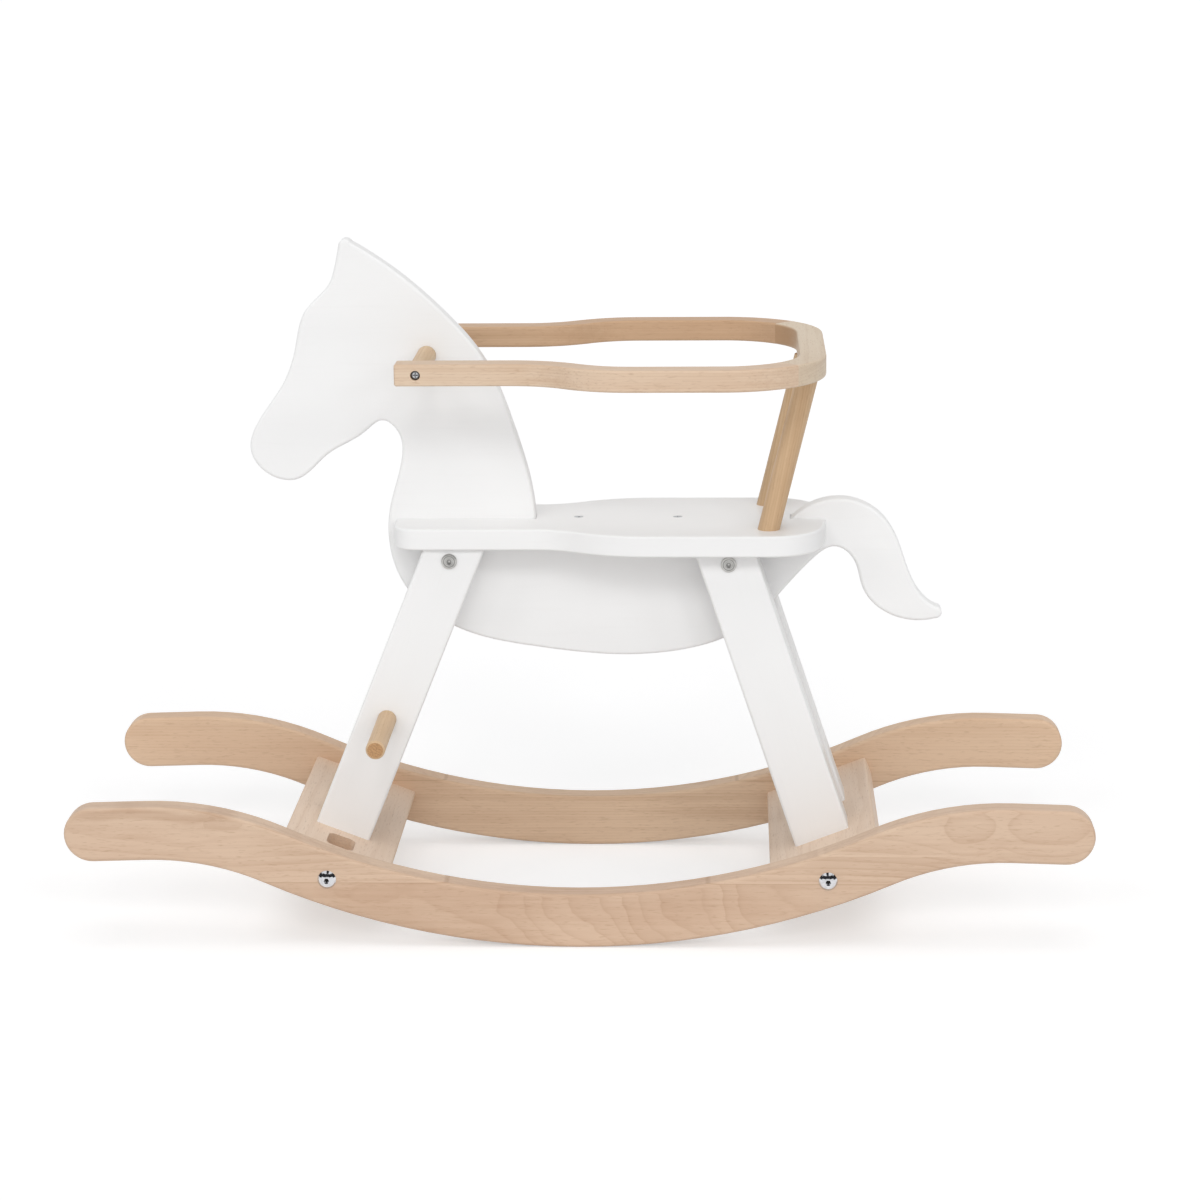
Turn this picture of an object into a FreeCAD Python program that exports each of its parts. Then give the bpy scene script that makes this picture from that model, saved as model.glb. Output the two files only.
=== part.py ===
import FreeCAD, Part
import math
import os

# Rocking horse for a toddler: a silhouette board cut as head, neck, belly and tail stands on four
# legs, a seat board slides onto it from above, two cross-boards and two rockers carry the legs, and
# a three-piece guard ring on two posts runs round the rider to the handle.
#
# Millimetres. +X points to the tail, -X to the head, +Z is up. The origin is on the floor, midway
# between the rockers and midway along them. The rider's left hand is on the -Y side.

V = FreeCAD.Vector
ORIGIN = V(0, 0, 0)
ACROSS = V(0, 1, 0)
UP = V(0, 0, 1)

# ---- driving dimensions ------------------------------------------------------------------------

# rockers: a parallel band, bent up by the running arc and levelled out again at both tips
rocker_length = 850
rocker_depth = 46
rocker_thickness = 22
rocker_gap = 248            # between the inner faces
rocker_edge_radius = 3
running_radius = 640        # underside, the arc that rolls on the floor
running_half_angle = 24     # where the running arc gives way to the tip's arc
tip_radius = 222            # underside of the reverse bend
tip_droop = 1.7             # the straight tip falls by this angle beyond level

# cross-boards, which lie on the slope between the rockers
cross_board_x = 207
cross_board_width = 95
cross_board_thickness = 18
cross_board_tilt = 21
cross_board_edge_radius = 2.5

# legs
leg_width = 48
leg_thickness = 36
front_bolt_x = -109
rear_bolt_x = 125.2
leg_bolt_drop = 10.5        # bolt axis below the seat board
front_foot_shift = -1.7     # along the cross-board, towards the middle of the horse
rear_foot_shift = -0.6
spacer_thickness = 12       # moves the rear legs out from the horse board
spacer_width = 38
spacer_length = 52
leg_edge_radius = 2.5

# horse board
horse_thickness = 18
saddle_height = 316         # the level edge that the seat board rests on
neck_back_x = -38
tail_front_x = 177
tail_shoulder_height = 16   # upright edge at the back of the saddle
outline_datum = 314         # height that the silhouette's points are counted from
ear_tip = (-195, 257.5)     # X and height above the datum, as for the whole silhouette
tail_tip = (306, -62)
horse_edge_radius = 2.5

# seat board
seat_thickness = 18
seat_front_x = -156
seat_rear_x = 207
seat_front_width = 102
seat_width = 156
seat_shoulder_start_x = -37
seat_shoulder_end_x = 60
seat_shoulder_share = 0.35  # the first arc's part of the shoulder's two radii
seat_front_corner = 20
seat_rear_corner = 44
seat_rear_corner_x = 160    # centre of the rear corner
seat_edge_radius = 2

# guard ring
ring_thickness = 18
ring_width = 22
ring_height = 131           # underside above the seat
ring_front_x = -145
ring_front_width = 194      # between the arms' centre lines at the handle
ring_rear_width = 259       # between the arms' centre lines beside the rider
ring_flare_start_x = -50
ring_flare_end_x = 47
ring_flare_share = 0.5      # both arcs of the flare have the same radius
ring_corner_radius = 74     # centre line
ring_corner_x = 120         # centre of the corner's arc
ring_seam_angle = 44        # where an arm meets the rear bar, from the long axis
ring_edge_radius = 2

# posts that carry the rear of the ring
post_diameter = 18
post_foot_x = 158.5
post_spacing = 98
post_head_inset = 14.5      # post's axis inside the ring's rear face

# handle and footrest
dowel_diameter = 16
handle_x = -127.6
handle_socket = 6
footrest_height = 167.5
footrest_length = 274
footrest_chamfer = 1.5

# fastenings
bolt_diameter = 6
rocker_bolt_head = 15.6
rocker_bolt_head_height = 4.2
leg_bolt_head = 13
leg_bolt_head_height = 2
leg_bolt_rim_share = 0.45   # the rim's rounding, as a share of the head's height
leg_bolt_socket_floor = 0.5
leg_bolt_end_gap = 6        # from the bolt's end to the far leg's outer face
sleeve_nut_diameter = 8
sleeve_nut_length = 22
sleeve_nut_end_wall = 4     # solid end of the sleeve nut, behind its head
hex_socket = 4
hex_socket_depth = 2.5
nut_across_flats = 10
nut_thickness = 5
washer_diameter = 12
washer_thickness = 1.2
nut_pocket_start = 38       # from the cross-board's end to the pocket
nut_pocket_length = 28
nut_pocket_width = 24
nut_pocket_clearance = 0.3  # under the washer's rim
nut_pocket_corner = 6
bolt_end = 2                # bolt thread left past its nut
locating_dowel_diameter = 8
locating_dowel_length = 30
locating_dowel_spacing = 56
locating_dowel_in_rocker = 12
screw_socket_share = 0.6    # a countersunk screw's socket, as a share of its shank
screw_socket_depth_share = 0.8   # and of its head's depth
screw_point_share = 0.125   # radius left at the point
foot_screw_diameter = 4.5
foot_screw_length = 60
foot_screw_head = 9
foot_screw_spacing = 24
seat_screw_diameter = 5
seat_screw_length = 55
seat_screw_head = 8
seat_screw_recess = 0.3
seat_screw_x = (-2, 82)
handle_screw_diameter = 4
handle_screw_length = 38
handle_screw_head = 7.4
handle_recess_diameter = 8
handle_recess_depth = 4.5
handle_screw_head_height = 2.2
handle_screw_socket = 3
handle_screw_socket_depth = 1.5
post_screw_diameter = 4.5
post_screw_length = 45
post_screw_head = 9
post_screw_sinking = 0.5    # of the head, inside the seat's underside
joint_dowel_diameter = 6
joint_dowel_length = 30
joint_dowel_spacing = 9
post_dowel_diameter = 8
post_dowel_length = 32
post_dowel_in_ring = 11
post_dowel_end_gap = 0.5

# fits
overcut = 1                 # a cutting tool starts this far outside the wood
blind_gap = 1               # left behind a dowel at each end of its hole
glue_gap = 0.1              # round a glued dowel, all round
bolt_gap = 0.25             # round a bolt or a screw
slot_gap = 0.2              # each side of the horse board in the seat's slots

# ---- what follows from them --------------------------------------------------------------------

rocker_inner_y = rocker_gap / 2
rocker_outer_y = rocker_inner_y + rocker_thickness
horse_face_y = horse_thickness / 2
front_leg_y = horse_face_y
rear_leg_y = horse_face_y + spacer_thickness
seat_top = saddle_height + seat_thickness
ring_bottom = seat_top + ring_height
ring_middle = ring_bottom + ring_thickness / 2
leg_bolt_height = saddle_height - leg_bolt_drop
nut_pocket_depth = (cross_board_thickness + washer_diameter) / 2 + nut_pocket_clearance
ring_corner_y = ring_rear_width / 2 - ring_corner_radius
ring_rear_x = ring_corner_x + ring_corner_radius + ring_width / 2


def centre_line_height(x):
    """Height of the rocker's centre line over its running arc."""
    radius = running_radius - rocker_depth / 2
    return running_radius - math.sqrt(radius ** 2 - x ** 2)


cross_board_z = centre_line_height(cross_board_x)


# ---- small helpers -----------------------------------------------------------------------------

def mirrored(shape):
    """The same piece on the other side of the horse."""
    return shape.mirror(ORIGIN, ACROSS)


def arc_points(centre, radius, start, end, place):
    """Three points on an arc, from one angle to another in degrees, through place(u, v)."""
    angles = (start, (start + end) / 2, end)
    return [place(centre[0] + radius * math.cos(math.radians(a)),
                  centre[1] + radius * math.sin(math.radians(a))) for a in angles]


def arc(centre, radius, start, end, place):
    return Part.Arc(*arc_points(centre, radius, start, end, place)).toShape()


def side_view(x, z):
    """A point drawn in side view, on the plane of symmetry."""
    return V(x, 0, z)


def plan_view(x, y):
    """A point drawn in plan, at floor level."""
    return V(x, y, 0)


def plank(edges, thickness_vector):
    """A board cut along a closed outline and thickened along a vector."""
    outline = Part.Wire(Part.__sortEdges__(edges))
    return Part.Face(outline).extrude(thickness_vector)


def polygon(points):
    """Straight edges from each point to the next and back to the first."""
    ends = points[1:] + points[:1]
    return [Part.makeLine(a, b) for a, b in zip(points, ends)]


def eased(solid, radius, chosen):
    """Round over the edges that chosen(edge) picks."""
    return solid.makeFillet(radius, [edge for edge in solid.Edges if chosen(edge)])


def lies_flat_in_y(edge):
    return edge.BoundBox.YLength < 1e-6


def lies_level(edge):
    return edge.BoundBox.ZLength < 1e-6


def rod(start, direction, radius, length):
    return Part.makeCylinder(radius, length, start, direction)


def hexagon(across_flats, depth, start, direction):
    """A six-sided prism from a point along a direction."""
    corner = across_flats / 2 / math.cos(math.radians(30))
    ring = [V(corner * math.cos(math.radians(60 * i)), corner * math.sin(math.radians(60 * i)), 0)
            for i in range(6)]
    prism = Part.Face(Part.Wire(polygon(ring))).extrude(V(0, 0, depth))
    prism.Placement = FreeCAD.Placement(start, FreeCAD.Rotation(UP, direction))
    return prism


def countersunk_screw(head_point, direction, head, shank, length):
    """A wood screw: a flush conical head, then a shank with a short point."""
    flare = (head - shank) / 2
    cone = Part.makeCone(head / 2, shank / 2, flare, head_point, direction)
    tip = shank
    body = rod(head_point + direction * flare, direction, shank / 2, length - flare - tip)
    point = Part.makeCone(shank / 2, shank * screw_point_share, tip,
                          head_point + direction * (length - tip), direction)
    drive = hexagon(shank * screw_socket_share, flare * screw_socket_depth_share, head_point, direction)
    return cone.fuse([body, point]).removeSplitter().cut(drive)


def screw_hole(head_point, direction, head, shank, length):
    """The countersink and pilot that such a screw sits in."""
    flare = (head - shank) / 2
    cone = Part.makeCone(head / 2 + bolt_gap, shank / 2 + bolt_gap, flare, head_point, direction)
    above = rod(head_point - direction * head, direction, head / 2 + bolt_gap, head)
    pilot = rod(head_point, direction, shank / 2 + bolt_gap, length + bolt_gap)
    return above.fuse([cone, pilot])


# ---- rockers and cross-boards ------------------------------------------------------------------

def rocker_edge(offset):
    """One long edge of the rocker band, from the middle to the tail end's round, lifted by offset."""
    angle = running_half_angle
    centre_height = running_radius
    bend = tip_radius + running_radius
    tip_centre = (bend * math.sin(math.radians(angle)),
                  centre_height - bend * math.cos(math.radians(angle)))
    level = 90 - tip_droop
    run = arc((0, centre_height), running_radius - offset, -90, -90 + angle, side_view)
    lift = arc(tip_centre, tip_radius + offset, 90 + angle, level, side_view)
    start = arc_points(tip_centre, tip_radius + offset, level, level, side_view)[0]
    droop = math.radians(tip_droop)
    along = V(math.cos(droop), 0, -math.sin(droop))
    straight_end_x = rocker_length / 2 - rocker_depth / 2
    normal_shift = (offset - rocker_depth / 2) * math.sin(droop)
    straight = (straight_end_x + normal_shift - start.x) / along.x
    end = start + along * straight
    return [run, lift, Part.makeLine(start, end)], end


def rocker():
    """The right rocker: tangent arcs, a half-round tip at each end and eased edges."""
    lower, lower_end = rocker_edge(0)
    upper, upper_end = rocker_edge(rocker_depth)
    middle = (lower_end + upper_end) * 0.5
    droop = math.radians(tip_droop)
    nose = middle + V(math.cos(droop), 0, -math.sin(droop)) * (rocker_depth / 2)
    half = lower + upper + [Part.Arc(lower_end, nose, upper_end).toShape()]
    other_half = [edge.mirror(ORIGIN, V(1, 0, 0)) for edge in half]
    board = plank(half + other_half, V(0, rocker_thickness, 0))
    board.translate(V(0, rocker_inner_y, 0))
    board = eased(board, rocker_edge_radius, lies_flat_in_y)
    return board.cut(cross_fastening_holes()).removeSplitter()


def on_cross_board(end, along, across, above):
    """A point on a cross-board: end -1 is the front one, +1 the rear one.

    along runs down the slope from the board's centre to the middle of the horse, across is Y and
    above is the distance from the board's middle plane.
    """
    tilt = math.radians(cross_board_tilt)
    x = cross_board_x - along * math.cos(tilt) - above * math.sin(tilt)
    z = cross_board_z - along * math.sin(tilt) + above * math.cos(tilt)
    return V(end * x, across, z)


def board_normal(end):
    """The upward normal of a cross-board."""
    tilt = math.radians(cross_board_tilt)
    return V(-end * math.sin(tilt), 0, math.cos(tilt))


def cross_fastening_holes():
    """Bolt and dowel holes on the right side, through the rocker and into the cross-boards."""
    holes = []
    bolt_reach = rocker_thickness + nut_pocket_start + nut_pocket_length / 2
    for end in (-1, 1):
        outer = on_cross_board(end, 0, rocker_outer_y + overcut, 0)
        holes.append(rod(outer, -ACROSS, bolt_diameter / 2 + bolt_gap, bolt_reach + overcut))
        for dowel in locating_dowels_at(end):
            holes.append(rod(dowel, -ACROSS, locating_dowel_diameter / 2 + glue_gap,
                             locating_dowel_length))
    return holes[0].fuse(holes[1:])


def locating_dowels_at(end):
    """The outer end points of the two dowels that stop a cross-board turning on its bolt."""
    reach = rocker_inner_y + locating_dowel_in_rocker
    return [on_cross_board(end, side * locating_dowel_spacing / 2, reach, 0) for side in (-1, 1)]


def nut_pocket(end, face):
    """A round-cornered pocket near the right rocker; face +1 opens it upwards, -1 downwards."""
    half = nut_pocket_width / 2
    outer = rocker_inner_y - nut_pocket_start
    inner = outer - nut_pocket_length
    opening = face * (cross_board_thickness / 2 + overcut)
    floor = face * (cross_board_thickness / 2 - nut_pocket_depth)
    corners = [(-half, inner), (half, inner), (half, outer), (-half, outer)]
    outline = Part.Wire(polygon([on_cross_board(end, a, y, floor) for a, y in corners]))
    rise = on_cross_board(end, 0, 0, opening) - on_cross_board(end, 0, 0, floor)
    block = Part.Face(outline).extrude(rise)
    return eased(block, nut_pocket_corner,
                 lambda edge: abs((edge.Vertexes[0].Point - edge.Vertexes[1].Point).dot(rise)) > 1)


def cross_board(end, pocket_face):
    """A board between the rockers, with its ends drilled and a nut pocket behind each bolt."""
    half_width = cross_board_width / 2
    half_thickness = cross_board_thickness / 2
    corners = [(-half_width, -half_thickness), (half_width, -half_thickness),
               (half_width, half_thickness), (-half_width, half_thickness)]
    outline = [on_cross_board(end, a, -rocker_inner_y, h) for a, h in corners]
    board = plank(polygon(outline), ACROSS * rocker_gap)
    board = eased(board, cross_board_edge_radius,
                  lambda edge: edge.BoundBox.YLength > rocker_gap - 1)
    fastenings = cross_fastening_holes()
    pocket = nut_pocket(end, pocket_face)
    cuts = [fastenings, mirrored(fastenings), pocket, mirrored(pocket)]
    for side in (-1, 1):
        for point in foot_screw_points(end, side):
            cuts.append(foot_screw_hole(end, point))
    return board.cut(cuts)


# ---- legs --------------------------------------------------------------------------------------

def leg_line(end):
    """Foot and bolt points on a leg's axis, in side view."""
    if end < 0:
        foot_shift, bolt_x = front_foot_shift, front_bolt_x
    else:
        foot_shift, bolt_x = rear_foot_shift, rear_bolt_x
    foot = on_cross_board(end, foot_shift, 0, cross_board_thickness / 2)
    return foot, V(bolt_x, 0, leg_bolt_height)


def leg_inner_y(end):
    return front_leg_y if end < 0 else rear_leg_y


def foot_screw_points(end, side):
    """Head points of the two screws that come up through a cross-board into one leg."""
    foot_shift = front_foot_shift if end < 0 else rear_foot_shift
    y = side * (leg_inner_y(end) + leg_thickness / 2)
    return [on_cross_board(end, foot_shift + step * foot_screw_spacing / 2, y,
                           -cross_board_thickness / 2) for step in (-1, 1)]


def foot_screw_hole(end, point):
    return screw_hole(point, board_normal(end), foot_screw_head, foot_screw_diameter,
                      foot_screw_length)


def leg(end):
    """The right leg of a pair: mitred to the cross-board below and level under the seat above."""
    foot, bolt = leg_line(end)
    axis = (bolt - foot).normalize()
    sideways = V(axis.z, 0, -axis.x)
    slope = board_normal(end)
    level_reach = (saddle_height - foot.z) / axis.z
    corners = []
    for half in (-leg_width / 2, leg_width / 2):
        base = foot + sideways * half
        bottom = base + axis * (-(base - foot).dot(slope) / axis.dot(slope))
        top = base + axis * (level_reach - sideways.z * half / axis.z)
        corners.append((bottom, top))
    outline = [corners[0][0], corners[1][0], corners[1][1], corners[0][1]]
    inner_y = leg_inner_y(end)
    solid = plank(polygon(outline), ACROSS * leg_thickness)
    solid.translate(ACROSS * inner_y)
    long_edge = leg_width * 2
    solid = eased(solid, leg_edge_radius,
                  lambda edge: lies_flat_in_y(edge) and edge.Length > long_edge)
    cuts = [leg_bolt_hole(end)]
    if end < 0:
        cuts.append(rod(V(foot.x, 0, foot.z) + axis * footrest_reach(), ACROSS,
                        dowel_diameter / 2 + glue_gap, footrest_length / 2))
    for point in foot_screw_points(end, 1):
        cuts.append(foot_screw_hole(end, point))
    return solid.cut(cuts)


def footrest_reach():
    """Distance from the front leg's foot up its axis to the footrest dowel."""
    foot, bolt = leg_line(-1)
    return (footrest_height - foot.z) / (bolt - foot).normalize().z


def footrest_point():
    foot, bolt = leg_line(-1)
    return foot + (bolt - foot).normalize() * footrest_reach()


def left_leg(end):
    """The left leg is the right one mirrored, with a plain bolt hole in place of the nut's bore."""
    return mirrored(leg(end))


def leg_outer_y(end):
    return leg_inner_y(end) + leg_thickness


def leg_bolt_hole(end):
    """The bolt's hole through everything between the legs, at its own size."""
    bolt = leg_line(end)[1]
    half = leg_outer_y(end) + overcut
    return rod(V(bolt.x, -half, bolt.z), ACROSS, bolt_diameter / 2 + bolt_gap, 2 * half)


def sleeve_nut_hole(end):
    """The wider bore for the sleeve nut, in from the right leg's outer face."""
    bolt = leg_line(end)[1]
    return rod(V(bolt.x, leg_outer_y(end) + overcut, bolt.z), -ACROSS,
               sleeve_nut_diameter / 2 + bolt_gap, sleeve_nut_length + overcut + blind_gap)


def right_leg(end):
    return leg(end).cut(sleeve_nut_hole(end))


def rear_spacer():
    """Packs the right rear leg out from the horse board, up against the seat."""
    foot, bolt = leg_line(1)
    axis = (bolt - foot).normalize()
    sideways = V(axis.z, 0, -axis.x)
    top_reach = (saddle_height - bolt.z) / axis.z
    corners = []
    for half in (-spacer_width / 2, spacer_width / 2):
        top = bolt + sideways * half + axis * (top_reach - sideways.z * half / axis.z)
        bottom = bolt + sideways * half + axis * (top_reach - spacer_length)
        corners.append((bottom, top))
    outline = [corners[0][0], corners[1][0], corners[1][1], corners[0][1]]
    block = plank(polygon(outline), ACROSS * spacer_thickness)
    block.translate(ACROSS * horse_face_y)
    return block.cut(leg_bolt_hole(1))


# ---- horse board and seat ----------------------------------------------------------------------

def horse_curves():
    """The silhouette, as curves between its corners: X and the height above the datum."""
    saddle = saddle_height - outline_datum
    ear_and_brow = [(-199, 254), (-202.5, 237), (-209, 219), (-228, 199)]
    nose = [(-238.5, 165), (-251.3, 133), (-272, 103), (-278.7, 79.5)]
    chin_and_jaw = [(-262, 57.3), (-240.5, 54), (-214, 75), (-181, 95)]
    throat = [(-166, 104.5), (-153, 94), (-150.5, 74)]
    chest = [(-161.5, 31), (-162.5, -6), (-149, -41), (-105, -76)]
    belly = [(-40, -92), (30, -99), (90, -94), (130, -80)]
    rump = [(168, -46), (197, -14.5), (215, -4.5), (230, -14.5)]
    tail_inside = [(238.5, -40), (252, -57.5), (276, -68), (301, -67)]
    front = ear_and_brow + nose + chin_and_jaw + throat + chest + belly + rump + tail_inside
    tail_outside = [(301, -57), (287, -45), (277, -25), (265, 7), (251, 25), (225, 36.5),
                    (198, 33), (tail_front_x, saddle + tail_shoulder_height)]
    mane = [(neck_back_x, saddle), (-40, 40), (-55, 97), (-81, 158), (-112, 195), (-150, 229),
            (-189, 255)]
    return front, tail_outside, mane


def on_outline(point):
    """A point of the silhouette, whose height is counted from the datum."""
    return side_view(point[0], outline_datum + point[1])


def spline(points):
    curve = Part.BSplineCurve()
    curve.interpolate([on_outline(point) for point in points])
    return curve.toShape()


def rounded_tip(start, tip, end):
    return Part.Arc(on_outline(start), on_outline(tip), on_outline(end)).toShape()


def horse_board():
    """Head, neck, belly and tail in one board, with a level saddle edge for the seat."""
    front, tail_outside, mane = horse_curves()
    saddle_rear = side_view(tail_front_x, saddle_height)
    edges = [spline(front), rounded_tip(front[-1], tail_tip, tail_outside[0]),
             spline(tail_outside), Part.makeLine(on_outline(tail_outside[-1]), saddle_rear),
             Part.makeLine(saddle_rear, on_outline(mane[0])), spline(mane),
             rounded_tip(mane[-1], ear_tip, front[0])]
    board = plank(edges, ACROSS * horse_thickness)
    board.translate(ACROSS * (-horse_face_y))
    return eased(board, horse_edge_radius, lies_flat_in_y)


def seat_half_outline():
    """Right half of the seat in plan: narrow beside the neck, wide under the rider, round behind."""
    narrow = seat_front_width / 2
    wide = seat_width / 2
    edges = [Part.makeLine(plan_view(seat_front_x, 0),
                           plan_view(seat_front_x, narrow - seat_front_corner)),
             arc((seat_front_x + seat_front_corner, narrow - seat_front_corner),
                 seat_front_corner, 180, 90, plan_view),
             Part.makeLine(plan_view(seat_front_x + seat_front_corner, narrow),
                           plan_view(seat_shoulder_start_x, narrow))]
    edges += s_bend((seat_shoulder_start_x, narrow), (seat_shoulder_end_x, wide),
                    seat_shoulder_share, 0)
    edges.append(Part.makeLine(plan_view(seat_shoulder_end_x, wide),
                               plan_view(seat_rear_corner_x, wide)))
    return edges + seat_rear_arcs(wide)


def s_bend(start, end, first_share, offset):
    """Two tangent arcs that step a line sideways; offset moves the curve parallel to itself.

    first_share is the first arc's part of the two radii together.
    """
    run = end[0] - start[0]
    rise = end[1] - start[1]
    turn = 2 * math.degrees(math.atan2(rise, run))
    radii = run / math.sin(math.radians(turn))
    first = radii * first_share
    second = radii - first
    return [arc((start[0], start[1] + first), first - offset, -90, -90 + turn, plan_view),
            arc((end[0], end[1] - second), second + offset, 90 + turn, 90, plan_view)]


def seat_rear_arcs(wide):
    """The rear corner's arc and the shallow arc that runs on from it to the centre line."""
    corner_y = wide - seat_rear_corner
    back = seat_rear_x - seat_rear_corner_x
    shallow = ((back ** 2 + corner_y ** 2 - seat_rear_corner ** 2)
               / (2 * (back - seat_rear_corner)))
    shallow_x = seat_rear_x - shallow
    meet = math.degrees(math.atan2(corner_y, seat_rear_corner_x - shallow_x))
    return [arc((seat_rear_corner_x, corner_y), seat_rear_corner, 90, meet, plan_view),
            arc((shallow_x, 0), shallow, meet, 0, plan_view)]


def seat_board():
    """One level board, slotted for the neck in front and for the tail behind."""
    half = seat_half_outline()
    other_half = [edge.mirror(ORIGIN, ACROSS) for edge in half]
    board = plank(half + other_half, UP * seat_thickness)
    board.translate(UP * saddle_height)
    board = eased(board, seat_edge_radius, lies_level)
    slot_width = horse_thickness + 2 * slot_gap
    depth = seat_thickness + 2 * overcut
    below = saddle_height - overcut
    neck_slot = Part.makeBox(neck_back_x + slot_gap - seat_front_x + overcut, slot_width, depth,
                             V(seat_front_x - overcut, -slot_width / 2, below))
    tail_slot = Part.makeBox(seat_rear_x - tail_front_x + slot_gap + overcut, slot_width, depth,
                             V(tail_front_x - slot_gap, -slot_width / 2, below))
    cuts = [neck_slot, tail_slot, seat_screw_holes()]
    for side in (-1, 1):
        cuts.append(post_screw_hole(side))
    return board.cut(cuts)


def seat_screw_holes():
    """Holes down through the seat into the saddle edge, with recesses for the heads."""
    head_top = seat_top - seat_screw_recess
    holes = [screw_hole(V(x, 0, head_top), -UP, seat_screw_head, seat_screw_diameter,
                        seat_screw_length) for x in seat_screw_x]
    return holes[0].fuse(holes[1:])


# ---- guard ring --------------------------------------------------------------------------------

def corner_point(radius, angle):
    """A point on the right corner of the ring, at a radius and an angle from the long axis."""
    return V(ring_corner_x + radius * math.cos(math.radians(angle)),
             ring_corner_y + radius * math.sin(math.radians(angle)), 0)


def arm_side(offset):
    """One side of the right arm in plan, from its front end to the seam."""
    front_y = ring_front_width / 2
    rear_y = ring_rear_width / 2
    bend = s_bend((ring_flare_start_x, front_y), (ring_flare_end_x, rear_y),
                  ring_flare_share, offset)
    return [Part.makeLine(plan_view(ring_front_x, front_y + offset),
                          plan_view(ring_flare_start_x, front_y + offset)),
            *bend,
            Part.makeLine(plan_view(ring_flare_end_x, rear_y + offset),
                          plan_view(ring_corner_x, rear_y + offset)),
            arc((ring_corner_x, ring_corner_y), ring_corner_radius + offset, 90,
                ring_seam_angle, plan_view)]


def seam_ends():
    half = ring_width / 2
    return [corner_point(ring_corner_radius + offset, ring_seam_angle) for offset in (-half, half)]


def ring_arm():
    """The right arm: straight at the handle, flared beside the rider, turning in behind."""
    half = ring_width / 2
    front_y = ring_front_width / 2
    front = Part.makeLine(plan_view(ring_front_x, front_y - half),
                          plan_view(ring_front_x, front_y + half))
    outline = [front] + arm_side(-half) + arm_side(half) + [Part.makeLine(*seam_ends())]
    arm = plank(outline, UP * ring_thickness)
    arm.translate(UP * ring_bottom)
    arm = eased(arm, ring_edge_radius, lambda edge: not_on_seam(edge))
    handle_end = V(handle_x, front_y - half + handle_socket, ring_middle)
    outer_face = V(handle_x, front_y + half, ring_middle)
    cuts = [rod(handle_end, -ACROSS, dowel_diameter / 2 + glue_gap, handle_socket + overcut),
            rod(outer_face + ACROSS * overcut, -ACROSS, handle_recess_diameter / 2,
                handle_recess_depth + overcut),
            rod(outer_face, -ACROSS, handle_screw_diameter / 2 + bolt_gap, ring_width)]
    cuts += joint_dowel_holes()
    return arm.cut(cuts)


def not_on_seam(edge):
    """True for the edges that are rounded: all but those round the glued seams and the S-bend."""
    if edge.BoundBox.ZLength > 1e-6 and edge.BoundBox.XMin > ring_front_x + 1:
        return False
    ends = seam_ends()
    middle = (ends[0] + ends[1]) * 0.5
    centre = edge.CenterOfMass
    return math.hypot(centre.x - middle.x, abs(centre.y) - middle.y) > 1


def joint_dowels_at_seam():
    """The start points and direction of the dowels across the right seam."""
    angle = math.radians(ring_seam_angle)
    direction = V(-math.sin(angle), math.cos(angle), 0)
    points = []
    for side in (-1, 1):
        radius = ring_corner_radius + side * joint_dowel_spacing / 2
        middle = corner_point(radius, ring_seam_angle) + UP * ring_middle
        points.append(middle - direction * (joint_dowel_length / 2))
    return points, direction


def joint_dowel_holes():
    points, direction = joint_dowels_at_seam()
    return [rod(point - direction * blind_gap, direction, joint_dowel_diameter / 2 + glue_gap,
                joint_dowel_length + 2 * blind_gap) for point in points]


def ring_rear_bar():
    """The bar behind the rider: straight in the middle, bent forward to meet both arms."""
    half = ring_width / 2
    edges = [Part.makeLine(*seam_ends()),
             Part.makeLine(*[V(p.x, -p.y, 0) for p in seam_ends()])]
    for offset in (-half, half):
        bend = arc((ring_corner_x, ring_corner_y), ring_corner_radius + offset,
                   ring_seam_angle, 0, plan_view)
        straight_x = ring_corner_x + ring_corner_radius + offset
        edges += [bend, bend.mirror(ORIGIN, ACROSS),
                  Part.makeLine(plan_view(straight_x, ring_corner_y),
                                plan_view(straight_x, -ring_corner_y))]
    bar = plank(edges, UP * ring_thickness)
    bar.translate(UP * ring_bottom)
    bar = eased(bar, ring_edge_radius, lambda edge: lies_level(edge) and not_on_seam(edge))
    cuts = []
    for hole in joint_dowel_holes():
        cuts += [hole, mirrored(hole)]
    for side in (-1, 1):
        cuts.append(post_dowel_hole(side))
    return bar.cut(cuts)


def post_line(side):
    """Foot and head of a post's axis, on the seat and under the ring."""
    y = side * post_spacing / 2
    return V(post_foot_x, y, seat_top), V(ring_rear_x - post_head_inset, y, ring_bottom)


def post_direction():
    foot, head = post_line(1)
    return (head - foot).normalize()


def ring_post():
    """The right post: a leaning round bar cut level at both ends."""
    foot, head = post_line(1)
    direction = post_direction()
    spare = post_diameter
    bar = rod(foot - direction * spare, direction, post_diameter / 2,
              (head - foot).Length + 2 * spare)
    room = rocker_length
    slab = Part.makeBox(room, room, ring_bottom - seat_top, V(-room / 2, -room / 2, seat_top))
    return bar.common(slab).cut([post_screw_hole(1), post_dowel_hole(1)])


def post_dowel_start(side):
    head = post_line(side)[1]
    return head + post_direction() * post_dowel_in_ring


def post_dowel_hole(side):
    direction = post_direction()
    return rod(post_dowel_start(side) + direction * post_dowel_end_gap, -direction,
               post_dowel_diameter / 2 + glue_gap, post_dowel_length + 2 * post_dowel_end_gap)


def post_screw_head_point(side):
    """The screw's head lies just inside the seat's underside, which its axis meets at a slant."""
    foot = post_line(side)[0]
    direction = post_direction()
    slant = post_screw_head / 2 * math.tan(math.acos(direction.z))
    return foot - direction * (seat_thickness / direction.z - slant - post_screw_sinking)


def post_screw_hole(side):
    return screw_hole(post_screw_head_point(side), post_direction(), post_screw_head,
                      post_screw_diameter, post_screw_length)


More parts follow.
